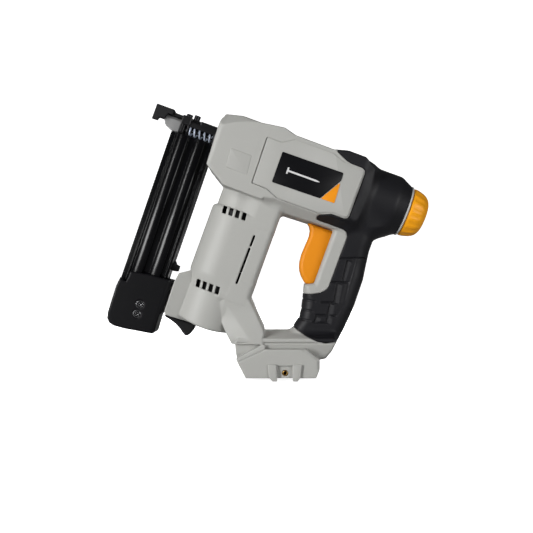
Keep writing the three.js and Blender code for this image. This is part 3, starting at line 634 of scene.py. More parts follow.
FOOT_LIP = from_level([
    (-36.4, 16.6), (-34.9, 13.0), (-12.4, 24.4), (-10.4, 26.6), (-10.8, 29.0), (-13.6, 29.4),
    (-32.0, 19.4),
])
FOOT_RECESS = from_level([(-44, 29.2), (-13.6, 29.4), (-32.0, 19.4), (-44, 13)])
FOOT_LOWER = from_level([
    (-27.8, 0.4), (33.7, 0.4), (36.9, 8.3), (36.9, 16.4), (25.1, 25.7), (-10.6, 25.7),
    (-35.0, 14.2),
])
RIB_FRONT = from_level([(-8.6, 12.6), (-1.2, 12.6), (-0.4, -2), (-4.4, -2), (-7.6, 1.4)])
RIB_REAR = from_level([(13.4, 12.6), (21.2, 12.6), (20.0, 1.4), (17.4, -2), (13.2, -2)])
PANEL = [
    (1.3, 15.3), (15.3, 15.2), (25.5, 21.6), (60.9, 21.8), (63.1, 20.6), (72.9, 17.3),
    (87.4, 16.6), (89.6, 15.6), (90.6, 13.6), (90.4, -24.4), (89.6, -26.2), (87.6, -26.9),
    (76.1, -26.9), (64.5, -31.6), (28.4, -31.6), (16.4, -26.9), (2.3, -26.6),
]
PAD = [(-26, -4.3), (-6.2, -4.2), (-4.4, -21.6), (-24.2, -21.5)]
# region the soft layer covers; it runs past the housing at the back
GRIP = [
    (60.4, 40), (61.4, 27.4), (63.6, 24.2), (73.6, 19.8), (77.8, 18.9), (88.6, 18.6),
    (91.2, 17.2), (92.1, 14.6), (92.0, -24.4), (91, -27.4), (88.4, -28.4), (77, -28.4),
    (67, -32.6), (65.4, -34.6), (66.6, -36.9), (91.6, -36.9), (95.2, -38.0), (97.3, -41.3),
    (97.6, -46), (97.4, -88.6), (96.2, -92.6), (92.4, -96.6), (85.1, -100.5),
    (79.6, -102.3), (70, -102.6), (70, -134.2), (81.2, -134.2), (91.6, -137.0),
    (103.2, -138.0), (111.4, -137.0), (119.0, -132.8), (140, -126), (150, -60), (150, 40),
]
VENT_X = (-13.4, -7.2, -1.1, 5.1)
VENT_Z = (-56.2, -125.9)
VENT_SLOTS = [[(19.6, -69.6), (19.4, -78.4)], [(19.4, -81.4), (19.1, -113.8)]]
# lines round the raised side panel: points, half width, depth
PANEL_GROOVES = [
    ([(1.2, 14.6), (2.2, -26.4)], 0.62, 1.9),
    ([(2.2, -26.4), (15.8, -27.0), (27.6, -31.9), (64, -31.9)], 0.5, 0.8),
    ([(1.2, 15.2), (14.8, 15.2), (24.6, 21.6)], 0.45, 0.5),
]
SCREWS = [
    (-33.5, 21), (-32, -20), (53, -33.6), (47, -147), (108, -52), (103.5, -112),
    (-27.2, -140),
]
INSERT = from_level([(6.6, 4.9)])[0]
# grip sides: fine grooves, and lines where the surface steps down
GRIP_GROOVES = [
    [(98.6, -61.6), (122, -52.6)], [(98.6, -84.2), (112.6, -79.5)],
    [(95.9, -104.6), (108.2, -100.1)], [(95.3, -117.0), (112.2, -111.4)],
    [(95.3, -124.0), (108.4, -119.6)],
]
GRIP_STEPS = [
    [(105.2, -61.0), (107.2, -79.9)], [(103.7, -83.2), (106.6, -100.6)],
    [(103.3, -102.4), (105.0, -113.4)], [(95.9, -117.3), (96.1, -123.8)],
    [(105.4, -113.9), (106.3, -120.4)],
]
GRIP_FRONT = [
    [(76, -108.2), (90.3, -105.8)], [(76, -117.6), (91.4, -114.6)],
    [(76, -126.4), (92.2, -123.4)],
]
GRIP_FOLD = [(110.8, -57.2), (111.9, -67.6), (112.6, -80), (114.5, -98.8), (112.7, -111.2)]


# ------------------------------------------------------------------ housing form
# In a bevel plane, the two factors on side and height (or x) are the plane's normal.
def head_form(grid):
    """Crisp facets under a crowned roof."""
    x, z = grid.x, grid.z
    side = grid.across - HEAD_HALF
    form = meet(grid.outline(HEAD), side, 1.1)
    form = meet(form, side * 0.70 + (z - grid.height(SHOULDER)) * 0.68, 0.5)
    form = meet(form, (z + 0.18 * grid.across - grid.height(ROOF)) * 0.96, 1.4)
    underside = side * 0.60 + (grid.height(UNDERSIDE) - z) * 0.78
    form = meet(form, underside, 0.5 + 3 * ramp(78, 92, x))
    form = meet(form, side * 0.87 + (-39.6 - x) * 0.49, 1)
    dent = 2.2 * np.exp(-(((z + 4) / 17) ** 2))
    return meet(form, side * 0.90 + (x - 91.4 + dent) * 0.43, 1.2)


def rear_form(grid):
    """Round barrel behind the head, filleted into the handle."""
    x, z = grid.x, grid.z
    radial = np.hypot(grid.y, z) - 28.5
    barrel = meet(radial, radial * 0.898 + (x - 128.0) * 0.44, 0.8)
    barrel = meet(barrel, between(x, 84, 139.2), 0.5)
    half = 18.6 - 1.0 * ramp(-100, -135, z) + 3.0 * ramp(-66, -34, z)
    radius = np.minimum(4.5 + 8 * ramp(95, 113, x) + 5 * ramp(-95, -107, z), 12.5)
    return join(barrel, meet(grid.outline(HANDLE), grid.across - half, radius), 14)


def column_section(grid, half):
    """Round front, flat sides and a flat back."""
    front = np.hypot(grid.x, grid.y) - half
    return meet(np.where(grid.x < 0, front, grid.across - half), grid.x - COLUMN_BACK, 5.5)


def neck_form(grid):
    """Narrower neck between head and column."""
    half = 23.2 + (COLUMN_HALF - 23.2) * ramp(-2, 16, grid.x)
    return meet(column_section(grid, half), between(grid.z, -62, -28))


def column_form(grid):
    narrowing = ramp(-113, -127, grid.z) * (3.4 - 2.2 * ramp(-6, 10, grid.x))
    form = column_section(grid, COLUMN_HALF - narrowing)
    form = meet(form, grid.z + 52.2, 4.2)
    return meet(form, -131 - grid.z, 0.5)


def strut_form(grid):
    """The rear of the column, running on down to the foot."""
    x, z = grid.x, grid.z
    half = COLUMN_HALF - 1.2 * ramp(-113, -127, z) - 1.4 * ramp(-127, -152, z)
    half = half + 6.6 * ramp(62, 30, grid.level_z)
    side = grid.across - half
    form = meet(grid.outline(STRUT), side, 2.2 + 3.3 * ramp(-134, -116, z))
    form = meet(form, 29.3 - grid.level_z, 0.3)
    slope = -0.58 * (x - 20.6) - 0.814 * (z + 137.8)
    return meet(form, side * 0.93 + slope * 0.37, 0.5)


def cup_form(grid):
    """Round cup at the lower end of the column."""
    x, z = grid.x, grid.z
    wall = np.hypot((x - 3) * 0.96, grid.y) - 25.3
    form = meet(wall, -162.0 + 0.004 * (x - 4) ** 2 - z, 2.2)
    return meet(form, z + 128.6 + 0.03 * (x + 20), 0.35)


def bracket_form(grid):
    """Tapered block in front of the cup."""
    x, z, side = grid.x, grid.z, grid.across - 14.5
    form = meet(grid.outline(BRACKET), (side + 0.26 * (x + 34)) * 0.967, 0.7)
    top = (z + 113.2) * 0.981 - (x + 8) * 0.196 + 1.4
    return meet(form, side * 0.62 + top * 0.78, 0.35)


def foot_form(grid):
    across, level_z = grid.across, grid.level_z
    form = meet(grid.outline(FOOT_UPPER), across - 29.5, 1.2)
    form = meet(form, (level_z - 40.2 + 6.0 * (across / 29.5) ** 2) * 0.95, 0.9)
    seam = np.maximum(np.abs(level_z - 30.6) - 0.65, 28.2 - across)
    form = carve(form, seam, 0.2)
    form = meet(form, (across - 29.3) * 0.93 + (30.2 - level_z) * 0.36, 0.2)
    form = carve(form, meet(grid.outline(FOOT_RECESS), 26.0 - across, 0.6), 0.5)
    outline, side = grid.outline(FOOT_LOWER), across - FOOT_HALF
    chamfer = side * 0.85 + (outline + 2.9) * 0.52
    chamfer = chamfer - 4 * ramp(24, 14, grid.level_x) - 4 * ramp(9, 3, level_z)
    lower = meet(meet(outline, side, 0.9), chamfer, 0.12)
    form = join(form, lower, 0.3)
    return join(form, meet(grid.outline(FOOT_LIP), across - 31.6, 0.8), 0.4)


def housing_form(grid):
    """Outer skin of the whole housing."""
    x, z, level_x = grid.x, grid.z, grid.level_x
    form = join(head_form(grid), rear_form(grid), 2.5 + 6.0 * ramp(86, 97, x))
    form = join(form, neck_form(grid), 1.2 + 2.3 * ramp(0, 14, x))
    form = join(form, column_form(grid), 0.5)
    form = join(form, strut_form(grid), 0.8)
    form = join(form, cup_form(grid), 0.4 + 3.2 * ramp(-152, -138, z) * ramp(2, 9, x))
    form = join(form, bracket_form(grid), 0.5)
    form = join(form, foot_form(grid), 1.0 + 3.6 * ramp(-4, 8, level_x))
    # lug on the front of the head
    form = join(form, meet(grid.bore((-43.7, 22.3), 1.9), grid.across - 5, 0.3), 0.2)
    # pocket between the foot's ribs
    pocket = np.maximum(np.abs(level_x - 6.5) - 6.4, np.abs(grid.level_z - 4.6) - 6.6)
    return carve(form, meet(pocket, 34.4 - grid.across, 0.2), 0.2)


def groove(form, skin, line, half_width, depth, edge=0.1):
    """Cuts a line into form, to the given depth below the skin."""
    return carve(form, np.maximum(line - half_width, -(skin + depth)), edge)


def panel_grooves(form, grid):
    for points, half_width, depth in PANEL_GROOVES:
        cut = groove(form, form, grid.line(points), half_width, depth)
        form = np.where(grid.across > 28, cut, form)
    return form


def vents(grid):
    """Two rows of slanted slots and a broken line of narrow ones."""
    slots = [
        meet(np.abs(grid.x - x + 0.12 * (grid.z - z)) - 1.85, np.abs(grid.z - z) - 3.4, 0.15)
        for z in VENT_Z
        for x in VENT_X
    ]
    slots += [grid.line(points) - 0.95 for points in VENT_SLOTS]
    return np.maximum(nearest(slots), 8 - grid.across)


def trigger_slot(grid):
    sides = meet(grid.across - 11.6, between(grid.z, -94.8, -40.2), 1.5)
    return meet(between(grid.x, 70, 90), sides)


def knob_opening(grid):
    return np.maximum(np.hypot(grid.y, grid.z) - 12.5, 128 - grid.x)


def openings(grid):
    x, z, across = grid.x, grid.z, grid.across
    nose = meet(meet(across - 14, between(z, -5, 12.6)), between(x, -60, -36))
    foot = meet(across - 29.7, grid.level_z - 14, 1.0)
    foot = meet(foot, between(grid.level_x, -29.7, 44), 1.0)
    latch = meet(meet(across - 6.4, between(x, -30, -7), 1.0), between(z, -170, -158.5))
    insert = meet(grid.bore(INSERT, 2.6), 28 - across)
    return nearest(
        [vents(grid), trigger_slot(grid), knob_opening(grid), nose, foot, latch, insert]
    )


def halve(field, grid):
    """Keeps the y > 0 side of the parting plane."""
    return meet(field, 0.03 - grid.y, 0.3)


def build_housing(grid, skin, grip_region):
    shell = np.minimum(carve(panel_grooves(skin, grid), grip_region - 0.10, 0.4), skin + 2.5)
    wall = np.where(grip_region < 4, 4.6, 3.2).astype(F32)
    body = carve(shell, skin + wall)
    bosses = nearest(grid.bore(centre, 5.0) for centre in SCREWS)
    body = np.minimum(body, np.maximum(bosses, skin + 2.8))
    half = halve(carve(body, openings(grid), 0.35), grid)
    holes = nearest(
        np.minimum(np.maximum(grid.bore(c, 3.8), 4.3 - grid.y), grid.bore(c, 2.0))
        for c in SCREWS
    )
    right = carve(half, holes, 0.3)
    piece("housing_left_shell", half, grid, "grey", node="housing_left",
          flip_y=True)
    piece("housing_right_shell", right, grid, "grey", node="housing_right")


def grip_step(grid, top, bottom):
    """Depth of a step: full on the line, fading 5 behind it and 0.75 ahead of it."""
    t = (grid.z - top[1]) / (bottom[1] - top[1])
    off = grid.x - (top[0] + (bottom[0] - top[0]) * t)
    dip = 1.5 * np.minimum(1 - off / 5.0, 1 + off / 0.75)
    return np.where((t > 0) & (t < 1), np.maximum(dip, 0), 0)


def build_grip(grid, skin, grip_region):
    sides = grid.across > 9
    grip = meet(np.maximum(skin, -(skin + 2.4)), grip_region + 0.14, 0.4)
    lines = nearest(grid.line(points) for points in GRIP_GROOVES)
    grip = np.where(sides, groove(grip, skin, lines, 0.55, 1.1, 0.12), grip)
    steps = reduce(np.maximum, [grip_step(grid, *points) for points in GRIP_STEPS])
    grip = np.where(sides, np.maximum(grip, skin + steps), grip)
    front = nearest(grid.line(points) for points in GRIP_FRONT)
    grip = groove(grip, skin, front, 0.7, 0.5, 0.4)
    fold = groove(grip, skin, grid.line(GRIP_FOLD), 1.2, 0.45, 0.9)
    half = halve(np.where(sides, fold, grip), grid)
    half = carve(half, trigger_slot(grid), 0.3)
    half = carve(half, knob_opening(grid), 0.3)
    right = carve(half, nearest(grid.bore(centre, 3.9) for centre in SCREWS), 0.3)
    piece("grip_left_layer", half, grid, "soft", node="grip_left", flip_y=True)
    piece("grip_right_layer", right, grid, "soft", node="grip_right")


shell_spacing = 0.6
shell_grid = Grid((-47, -1.5, -191), (141.5, 40, 36), shell_spacing)
shell_skin = housing_form(shell_grid)
soft_region = shell_grid.outline(GRIP)
build_housing(shell_grid, shell_skin, soft_region)
build_grip(shell_grid, shell_skin, soft_region)

# ------------------------------------------------------------------ labels and side plates
# name, outline, inner and outer y, material, corner radius, replaced node; the pictogram is
# a plain brad: head, shank and point
LABELS = [
    ("label_dark", [(17.8, 8.0), (74.3, 8.6), (74.66, 1.6), (62.4, -19.3), (18, -20.2)],
     35.02, 35.4, "label", 1.2, "side_label"),
    ("label_corner", [(74.66, 0.6), (75.7, -19.0), (63.0, -19.27)],
     35.02, 35.4, "label_orange", 0.8, None),
    ("label_pictogram",
     [(27.0, -3.2), (28.4, -3.2), (28.4, -5.3), (54.2, -5.3), (58.0, -6.1), (54.2, -6.9),
      (28.4, -6.9), (28.4, -9.0), (27.0, -9.0)],
     35.43, 35.56, "label_pale", 0.2, None),
]
for side, sign in SIDES:
    for stem, points, inner, outer, mat, radius, node in LABELS:
        slab(f"{stem}_{side}", rounded(points, radius), sign * inner, sign * outer, mat,
             node=node and f"{node}_{side}", bevel=0.12)

# name, outline, corner radius, inner and outer y, bevel
PLATES = [
    ("side_panel", PANEL, 0.8, 33.6, 34.98, 0.45),
    ("side_pad", PAD, 1.2, 33.2, 35.0, 0.75),
    ("foot_rib_front", RIB_FRONT, 0.7, 33.6, 38.1, 0.55),
    ("foot_rib_rear", RIB_REAR, 0.7, 33.6, 38.1, 0.55),
]
PAD_SLOPE, PAD_FRONT = 0.034, -26  # the pad sinks towards the back, level at its front edge
for side, sign in SIDES:
    shear = Matrix.Identity(4)
    shear[1][0] = -sign * PAD_SLOPE
    shear[1][3] = sign * PAD_SLOPE * PAD_FRONT
    for stem, points, radius, inner, outer, bevel in PLATES:
        slab(f"{stem}_{side}", rounded(points, radius), sign * inner, sign * outer, "grey",
             pose=TOOL @ shear if stem == "side_pad" else TOOL,
             bevel=bevel, segments=3)

# ------------------------------------------------------------------ knob, collar and dark sheets for the shade behind the slots
KNOB = [  # (x, radius)
    (131, 5.45), (131, 11.6), (131.3, 11.9), (141.5, 11.9), (141.5, 21.2), (141.8, 21.8),
    (142.4, 22.1), (143.5, 22.2), (145, 22.0), (147, 21.6), (149, 21.1), (151, 20.5),
    (152.6, 19.9), (154.2, 19.1), (155.6, 18.1), (156.8, 16.9), (157.8, 15.4),
    (158.6, 13.6), (159.0, 12.0), (159.1, 10.6), (158.8, 10.0), (158.8, 8.6), (159.3, 7.8),
    (159.9, 6.0), (160.2, 3.4), (160.3, 0.0), (152, 0.0), (152, 5.45),
]
COLLAR = [
    (139.4, 13.2), (139.4, 22.9), (139.7, 23.3), (140.2, 23.4), (140.7, 23.2),
    (141.0, 22.7), (141.0, 13.2),
]
FLUTES, FLUTE_DEPTH = 18, 0.26


def flute(x, theta):
    """Ripple round the knob's rim, fading out at both ends."""
    fade = float(np.clip((x - 142.4) / 2.5, 0, 1) * np.clip((157.0 - x) / 4.0, 0, 1))
    return FLUTE_DEPTH * fade * math.copysign(abs(math.cos(theta * FLUTES)) ** 0.6,
                                              math.cos(theta * FLUTES))


lathe("power_knob_turned", KNOB, "orange", 240, body="power_knob",
      node="power_knob", relief=flute)
lathe("knob_collar_ring", COLLAR, "white", 128, node="knob_collar")
# dark sheets behind the lower air slots, standing in for the shade inside them
lathe("vent_shade_ring", [(-133.5, 18.2), (-133.5, 18.9), (-117.5, 18.9), (-117.5, 18.2)],
      "black", 72, axis="z")
slab("slot_shade_sheet",
     rounded([(16.6, -117.0), (16.6, -104.6), (23.4, -104.6), (23.4, -117.0)], 0.6),
     -1.2, 1.2, "black", bevel=0.25)

# ------------------------------------------------------------------ trigger
TRIGGER = [
    (60.6, -41.2), (64.6, -40.4), (84, -40.4), (86.8, -41.6), (87.4, -44), (87.0, -86.6),
    (86.2, -91.2), (83.6, -93.0), (80.0, -93.6), (77, -93.2), (74.2, -90.8), (71.4, -88.2),
    (68.9, -84.6), (66.9, -80.2), (65.8, -75.4), (65.3, -69.8), (65.5, -64), (65.9, -58),
    (66.2, -51.5), (65.2, -46.4), (63.2, -43),
]
TRIGGER_BACK = [
    (80, -42), (93.6, -42), (94.4, -48), (90.6, -60), (90.6, -84), (84, -88), (80, -86),
]


def build_trigger():
    grid = Grid((58, -12, -96), (96, 12, -38), 0.5)
    blade = meet(grid.outline(TRIGGER), grid.across - 10.8, 3.6)
    blade = join(blade, meet(grid.outline(TRIGGER_BACK), grid.across - 6, 0.8), 0.6)
    blade = carve(blade, grid.bore((89.6, -47), 2.3), 0.2)
    piece("trigger_blade", blade, grid, "trigger", "trigger", "trigger")


build_trigger()


# ------------------------------------------------------------------ magazine, magazine frame
def magazine_section(side, inner_y):
    """(x, y) half section with two ribs, each an arc rising to a rounded back edge."""
    web_y, crest_y = 10.3, 13.0
    arc, run, edge = 11.3, 7.3, 2.0  # arc radius, its length in x, radius of the back edge
    points = [
        (-84.4, inner_y), (-84.4, 8.4), (-83.6, web_y), (-79.6, web_y), (-79.2, web_y + 0.8),
        (-78.2, web_y + 0.8), (-77.8, web_y),
    ]
    for start, end in ((-77.2, -66.4), (-61.2, -50.4)):
        for k in range(9):
            rest = run * (1 - k / 8)
            drop = arc - math.sqrt(arc * arc - rest * rest)
            points.append((start + run - rest, crest_y - drop))
        for k in range(5):
            turn = math.radians(90 * k / 4)
            x = end - edge + edge * math.sin(turn)
            points.append((x, crest_y - edge + edge * math.cos(turn)))
        points.append((end, web_y))
    points += [(-47.6, web_y), (-46.6, 11.6), (-44.9, 11.6), (-44.1, 10.6), (-44.1, inner_y)]
    return [(mag(x), side * y) for x, y in points]


CHANNEL = [(-46.6, -1.0), (-46.6, -8.6), (-80.4, -8.6), (-80.4, -1.0)]
STOP_TAB = [
    (-44.6, -110), (-41.6, -114), (-38.3, -114.6), (-38.2, -119.8), (-41.8, -120.6),
    (-44.6, -120.6),
]
END_CAP = [
    (-77.4, -132.6), (-60.2, -129.8), (-49.6, -129.2), (-39.4, -128.4), (-38.4, -132),
    (-38.4, -159), (-39.6, -161.5), (-39.0, -178.0), (-40.4, -179.6), (-66, -183.4),
    (-76.1, -184), (-80.2, -182.8), (-83.4, -179.4), (-84.6, -174.4), (-85.2, -148.8),
    (-84.2, -140.5), (-77.6, -139.4),
]
CAP_SCREWS = [(mag(-59.3), -158.2), (mag(-59), -167)]

slab("magazine_cover_section", magazine_section(-1, 1.0) + [(mag(x), y) for x, y in CHANNEL],
     -146, -0.6, "anodised", "magazine_slide", "magazine_cover", MAGAZINE,
     plane="xy", bevel=0.25, bevel_angle=30)
slab("magazine_rail_section", magazine_section(1, 0.9), -143, -0.6, "anodised",
     node="magazine_rail", pose=MAGAZINE, plane="xy", bevel=0.25,
     bevel_angle=30)
slab("magazine_stop_tab", rounded([(mag(x), z) for x, z in STOP_TAB], 0.7, 3), 1.2, 8,
     "black", pose=MAGAZINE)


def build_end_cap():
    grid = Grid((mag(-87), -16.5, -186), (mag(-36.5), 16.5, -126.5), 0.6)
    side = grid.across - 15.2
    cap = meet(grid.outline([(mag(x), z) for x, z in END_CAP]), side, 1.6)
    cap = meet(cap, side * 0.75 + (grid.x - mag(-41.2)) * 0.66, 0.8)
    cap = carve(cap, grid.box((mag(-84.9), mag(-43.6)), (-13.5, 13.5), (-147.4, -100)), 0.2)
    cap = carve(cap, grid.box((mag(-82.6), mag(-77.7)), (-30, -12), (-142.6, -100)), 0.3)
    for centre in CAP_SCREWS:
        cap = carve(cap, grid.rod("y", 3.85, -20, -13.8, centre), 0.2)
        cap = carve(cap, grid.rod("y", 1.7, -20, 6, centre))
    piece("magazine_end_cap_moulding", cap, grid, "cap", "magazine_slide",
          "magazine_end_cap", MAGAZINE)


build_end_cap()


# ------------------------------------------------------------------ cross-recess screws
def cross_screw(name, radius, top, under, at, side, body, node, pose, shank_span):
    """Pan head between y = top and under, facing side, on a plain shank."""
    low, high = sorted((top, under))
    grid = Grid(
        (at[0] - radius - 1, low - 1, at[1] - radius - 1),
        (at[0] + radius + 1, high + 1, at[1] + radius + 1),
        0.25,
    )
    dx, dz = grid.x - at[0], grid.z - at[1]
    u, w = np.abs((dx + dz) * 0.7071), np.abs((dx - dz) * 0.7071)
    reach, half_width, depth = radius * 0.66, 0.45, 1.1
    cross = np.minimum(
        meet(u - half_width, w - reach, 0.2), meet(w - half_width, u - reach, 0.2)
    )
    recess = np.maximum(cross, (top - side * depth - grid.y) * side)
    head = carve(grid.rod("y", radius, low, high, at, 0.45), recess, 0.1)
    piece(name, head, grid, "screw", body, node, pose)
    shank(name + "_shank", 1.35, *shank_span, "y", at, body, pose)


for i, centre in enumerate(SCREWS, 1):
    cross_screw(f"housing_screw_head_{i}", 3.3, 7.2, 4.5, centre, 1, "tool_body",
                f"housing_screw_{i}", TOOL, (-11.6, 4.3))
for i, centre in enumerate(CAP_SCREWS, 1):
    cross_screw(f"end_cap_screw_head_{i}", 3.6, -15.5, -13.9, centre, -1, "magazine_slide",
                f"end_cap_screw_{i}", MAGAZINE, (-13.7, 4))

# ------------------------------------------------------------------ nose
TRIP_AXIS = (-10.6, 0.1)  # (y, z) of the trip rod
NOSE_SCREWS = [(-74.6, 16.2), (-67.4, 17.4)]  # x, z of the head's top
NOSE_BLOCK = [(-78.4, 8.7), (-78.4, -3.8), (-30, -3.8), (-30, 12), (-61.2, 12), (-61.2, 8.7)]
NOSE_PLATE = [
    (-94.3, 2.6), (-94.0, 8.4), (-78.8, 8.4), (-78.8, -3.6), (-84.6, -3.6), (-92.8, -0.2),
]
NO_MAR_TIP = [
    (-104.8, 14.1), (-87.9, 14.1), (-87.9, 9.2), (-92.2, 8.9), (-94.0, 3.4), (-98.4, 3.4),
    (-99.4, -0.2), (-104.8, -0.2),
]


def build_nose_block():
    grid = Grid((-80, -14.5, -5.5), (-28.5, 14.5, 14), 0.5)
    block = meet(grid.outline(NOSE_BLOCK), grid.across - 13, 0.9)
    block = carve(block, grid.box((-100, -20), (-3.8, 6.9), (-1.3, 1.3)))
    block = carve(block, grid.rod("x", 1.15, -90, -40, TRIP_AXIS))
    for x, _ in NOSE_SCREWS:
        block = carve(block, grid.rod("z", 1.7, 2, 20, (x, 0)))
    block = carve(block, grid.box((-62, -53.2), (-8.4, 8.4), (8.7, 14), 0.4))
    block = carve(block, grid.box((-73.6, -46.0), (-20, -6.7), (-4.2, 4.0), 0.6), 0.4)
    piece("nose_block_body", block, grid, "blackened", node="nose_block")


def build_nose_plate():
    grid = Grid((-95.5, -8, -5), (-77.5, 8, 9.8), 0.22)
    side = grid.across - 6.6
    plate = meet(grid.outline(NOSE_PLATE), side, 0.25)
    plate = meet(plate, side * 0.8 + (grid.z - 6.2) * 0.6, 0.12)
    plate = carve(plate, grid.box((-100, -70), (-1.7, 1.7), (-1.1, 1.1)), 0.15)
    piece("nose_plate_casting", plate, grid, "cast", node="nose_plate")


def build_contact_trip():
    """Flat plate with an arm folded down its left side to a boss on the trip rod."""
    grid = Grid((-102, -15.8, -4.8), (-60.4, 9.4, 13.6), 0.45)
    trip = nearest([
        grid.box((-100.4, -61.8), (-8, 8), (9.2, 12.2), 0.7),
        grid.box((-78, -69.6), (-14.4, -7.6), (9.2, 12.2), 0.6),
        grid.box((-78, -75.4), (-14.4, -13.2), (-3.4, 12.2), 0.4),
        grid.box((-78, -69.6), (-14.4, -13.2), (4.6, 12.2), 0.4),
        grid.rod("x", 3.4, -71.3, -69.6, TRIP_AXIS, 0.3),
        grid.box((-71.3, -69.8), (-13.8, -12.0), (0, 8), 0.2),
    ])
    trip = carve(trip, grid.box((-85, -62.6), (-1.9, 1.9), (5, 15)), 0.3)
    trip = carve(trip, grid.rod("x", 1.25, -90, -60, TRIP_AXIS))
    piece("contact_trip_plate", trip, grid, "blackened", "contact_trip",
          "contact_trip")


def build_no_mar_tip():
    grid = Grid((-106.4, -12, -1.8), (-86.4, 12, 15.6), 0.45)
    tip = meet(grid.outline(NO_MAR_TIP), grid.across - 10.6, 0.7)
    tip = carve(tip, grid.box((-100.7, -80), (-8.3, 8.3), (8.8, 12.5)), 0.3)
    tip = carve(tip, grid.box((-110, -80), (-7.1, 7.1), (-5, 8.6)), 0.5)
    tip = carve(tip, grid.box((-110, -80), (7.0, 14), (-5, 5.2)), 0.5)
    piece("no_mar_tip_moulding", tip, grid, "rubber", "contact_trip", "no_mar_tip")


def build_nose_screw(number, x, top):
    """Round head with a hexagon socket, along z."""
    grid = Grid((x - 4, -4, 11.5), (x + 4, 4, top + 1), 0.25)
    corners = [math.radians(60 * k) for k in range(6)]
    hexagon = [(x + 1.45 * math.cos(a), 1.45 * math.sin(a)) for a in corners]
    socket = np.maximum(grid.plan(hexagon), 14.2 - grid.z)
    head = carve(grid.rod("z", 2.9, 12.5, top, (x, 0), 0.35), socket, 0.12)
    piece(f"nose_screw_head_{number}", head, grid, "screw",
          node=f"nose_screw_{number}")
    shank(f"nose_screw_shank_{number}", 1.4, 2.6, 12.3, "z", (x, 0))


build_nose_block()
build_nose_plate()
build_contact_trip()
build_no_mar_tip()
for i, (x, top) in enumerate(NOSE_SCREWS, 1):
    build_nose_screw(i, x, top)
spring("trip_spring_coil", radius=3.2, wire=0.74, start=-69.5, end=-46.6, turns=5.2,
       at=(-10.8, 0.1), mat="spring", node="trip_spring",
       end_turns=0.7)
lathe("trip_rod_turned",
      [(-77.6, 0), (-77.4, 0.6), (-77.1, 0.85), (-44.9, 0.85), (-44.6, 0.6), (-44.6, 0)],
      "dark_steel", 20, at=TRIP_AXIS, node="trip_rod", closed=False)

# ------------------------------------------------------------------ latch, inserts, spring
LATCH = [
    (-33.4, -163.9), (-32.8, -165.4), (-27, -166.6), (-21.6, -168.2), (-16.4, -170.8),
    (-12, -174.0), (-9.4, -175.4), (-7.2, -174.8), (-5.4, -172.2), (-4.2, -168.6),
    (-3.4, -163.0),
]
INSERT_RING = [  # (distance from the parting plane, radius)
    (30.2, 1.5), (30.2, 2.3), (34.7, 2.3), (34.9, 2.2), (35.05, 1.9), (34.8, 1.6),
    (34.0, 1.5),
]
SPRING_SEAT = 117.4  # x of the main spring's fixed rear end


def build_latch():
    grid = Grid((-35, -8.5, -179), (-1.8, 8.5, -159), 0.5)
    latch = meet(grid.outline(LATCH), grid.across - 7, 1.2)
    tongue = grid.box((-28, -14), (-5.8, 5.8), (-165.4, -159.4), 0.5)
    piece("magazine_latch_moulding", np.minimum(latch, tongue), grid, "black",
          "latch", "magazine_latch")


build_latch()
for side, sign in SIDES:
    lathe(f"hook_insert_turned_{side}", [(sign * y, radius) for y, radius in INSERT_RING],
          "brass", 40, axis="y", at=INSERT, node=f"hook_insert_{side}")
spring("main_spring_coil", radius=17.5, wire=1.6, start=38.6, end=SPRING_SEAT, turns=9.5,
       at=(0, 0), mat="steel", node="main_spring",
       segments=40)

# ------------------------------------------------------------------ carried-over CAD nodes
CAD_MATERIALS = {
    "lifter_wheel": "steel", "planet_carrier": "steel", "planet_gear_1": "steel",
    "planet_gear_2": "steel", "planet_gear_3": "steel", "ring_gear": "dark_steel",
    "gear_plate": "cast", "motor_can": "dark_steel", "motor_rotor": "steel",
    "motor_fan": "black", "motor_bearing": "steel", "cylinder_tube": "cast",
    "bumper": "rubber", "piston": "cast", "driver_blade": "steel", "piston_seal": "rubber",
    "spring_plate": "steel", "nail_pusher": "steel", "pusher_spring_roll": "steel",
    "trigger_pin": "steel", "trigger_switch": "black", "switch_plunger": "white",
    "control_board": "board", "battery_rail": "black", "terminal_block": "black",
    "terminal_positive": "copper", "terminal_negative": "copper",
}
UNBEVELLED = ("pusher_spring_roll", "motor_bearing")
for name, mat in CAD_MATERIALS.items():
    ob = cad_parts[name]
    if ob.material_slots:
        for material_slot in ob.material_slots:
            material_slot.material = MATERIALS[mat]
    else:
        ob.data.materials.append(MATERIALS[mat])
    weld = ob.modifiers.new("weld", "WELD")
    weld.merge_threshold = 0.00002
    if name not in UNBEVELLED:
        ease = ob.modifiers.new("ease", "BEVEL")
        ease.width = 0.00012
        ease.segments = 2
        ease.limit_method = "ANGLE"
        ease.angle_limit = math.radians(40)


# ------------------------------------------------------------------ stage, metres
def floor_material():
    """Bright to the camera, mid grey to every other ray."""
    mat = material("pale_floor", (0.93, 0.93, 0.93, 1), 0.85, grain=120, bump=0.02,
                   vary=0.004, spec=0.15)
    tree = mat.node_tree
    shader = tree.nodes["Principled BSDF"]
    camera_ray = tree.nodes.new("ShaderNodeLightPath").outputs["Is Camera Ray"]
    glow = add_node(
        tree, "ShaderNodeMapRange", {"To Min": 0.2, "To Max": 0.9, "Value": camera_ray}
    )
    feed(tree, shader,
         {"Emission Color": (1, 1, 1, 1), "Emission Strength": glow.outputs[0]})
    grey = add_node(tree, "ShaderNodeBsdfDiffuse", {"Color": (0.3, 0.3, 0.3, 1)})
    mix = add_node(
        tree, "ShaderNodeMixShader", {0: camera_ray, 1: grey.outputs[0], 2: shader.outputs[0]}
    )
    feed(tree, tree.nodes["Material Output"], {"Surface": mix.outputs[0]})
    return mat


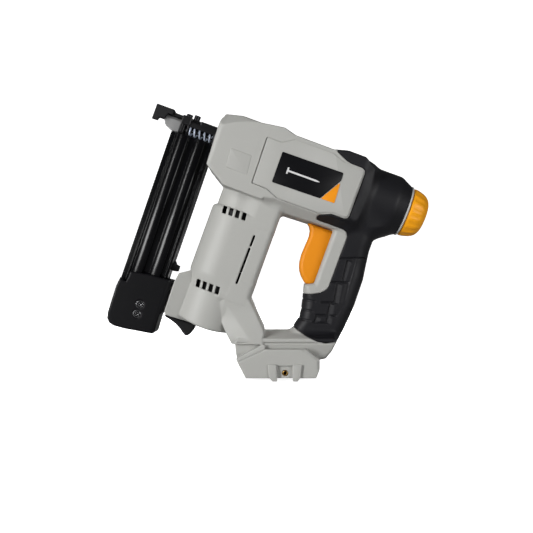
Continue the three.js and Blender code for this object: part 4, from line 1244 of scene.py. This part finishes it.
def build_floor():
    """Floor swept up into a back wall."""
    sweep, half_width, drop = 0.8, 3.5, 0.0004
    profile = [(-2.0, 0.0)]  # (y, z)
    for k in range(13):
        turn = math.radians(90 * k / 12)
        profile.append((1.2 + sweep * math.sin(turn), sweep - sweep * math.cos(turn)))
    profile.append((2.0, 3.0))
    verts = [(x, y, z - drop) for y, z in profile for x in (-half_width, half_width)]
    faces = [(2 * i, 2 * i + 1, 2 * i + 3, 2 * i + 2) for i in range(len(profile) - 1)]
    mesh = bpy.data.meshes.new("floor")
    mesh.from_pydata(verts, [], faces)
    MATERIALS["floor"] = floor_material()
    add_smooth("floor", mesh, "floor")


def build_world():
    """White to the camera, dim as a light."""
    world = bpy.data.worlds.new("studio")
    bpy.context.scene.world = world
    world.use_nodes = True
    tree = world.node_tree
    camera_ray = tree.nodes.new("ShaderNodeLightPath").outputs["Is Camera Ray"]
    strength = add_node(
        tree, "ShaderNodeMapRange", {"To Min": 0.10, "To Max": 1.0, "Value": camera_ray}
    )
    feed(tree, tree.nodes["Background"],
         {"Color": (1, 1, 1, 1), "Strength": strength.outputs[0]})


def area_light(name, location, target, size, power):
    light = bpy.data.lights.new(name, "AREA")
    light.shape = "RECTANGLE"
    light.size, light.size_y = size
    light.energy = power
    ob = add_object(name, light)
    ob.location = location
    aim = Vector(target) - Vector(location)
    ob.rotation_euler = aim.to_track_quat("-Z", "Y").to_euler()
    ob.visible_camera = False
    return ob


build_floor()
build_world()
area_light("key", location=(-1.22, -1.08, 0.14), target=(0, 0, 0.13), size=(0.5, 0.9),
           power=30)
area_light("strip", location=(-1.22, -1.06, 0.98), target=(-0.05, 0, 0.16),
           size=(0.17, 0.75), power=8)
area_light("fill", location=(1.2, -1.3, 0.06), target=(0, 0, 0.12), size=(0.8, 0.9),
           power=21)
# two lights in one place: the strong one gives no highlights, the weak one does
BACK_LIGHT = dict(location=(0.2, 1.1, 0.42), target=(0, 0, 0.12), size=(1.0, 0.5))
back = area_light("back", **BACK_LIGHT, power=13)
back.visible_glossy = False
area_light("back_sheen", **BACK_LIGHT, power=2)

camera_data = bpy.data.cameras.new("camera")
camera_data.lens = 50
camera_data.sensor_width = 36
camera = add_object("camera", camera_data)
camera.location = (-0.00276, -0.681, 0.10003)
camera.rotation_euler = (math.radians(90), 0, 0)
bpy.context.scene.camera = camera
bpy.context.scene.view_settings.view_transform = "Standard"
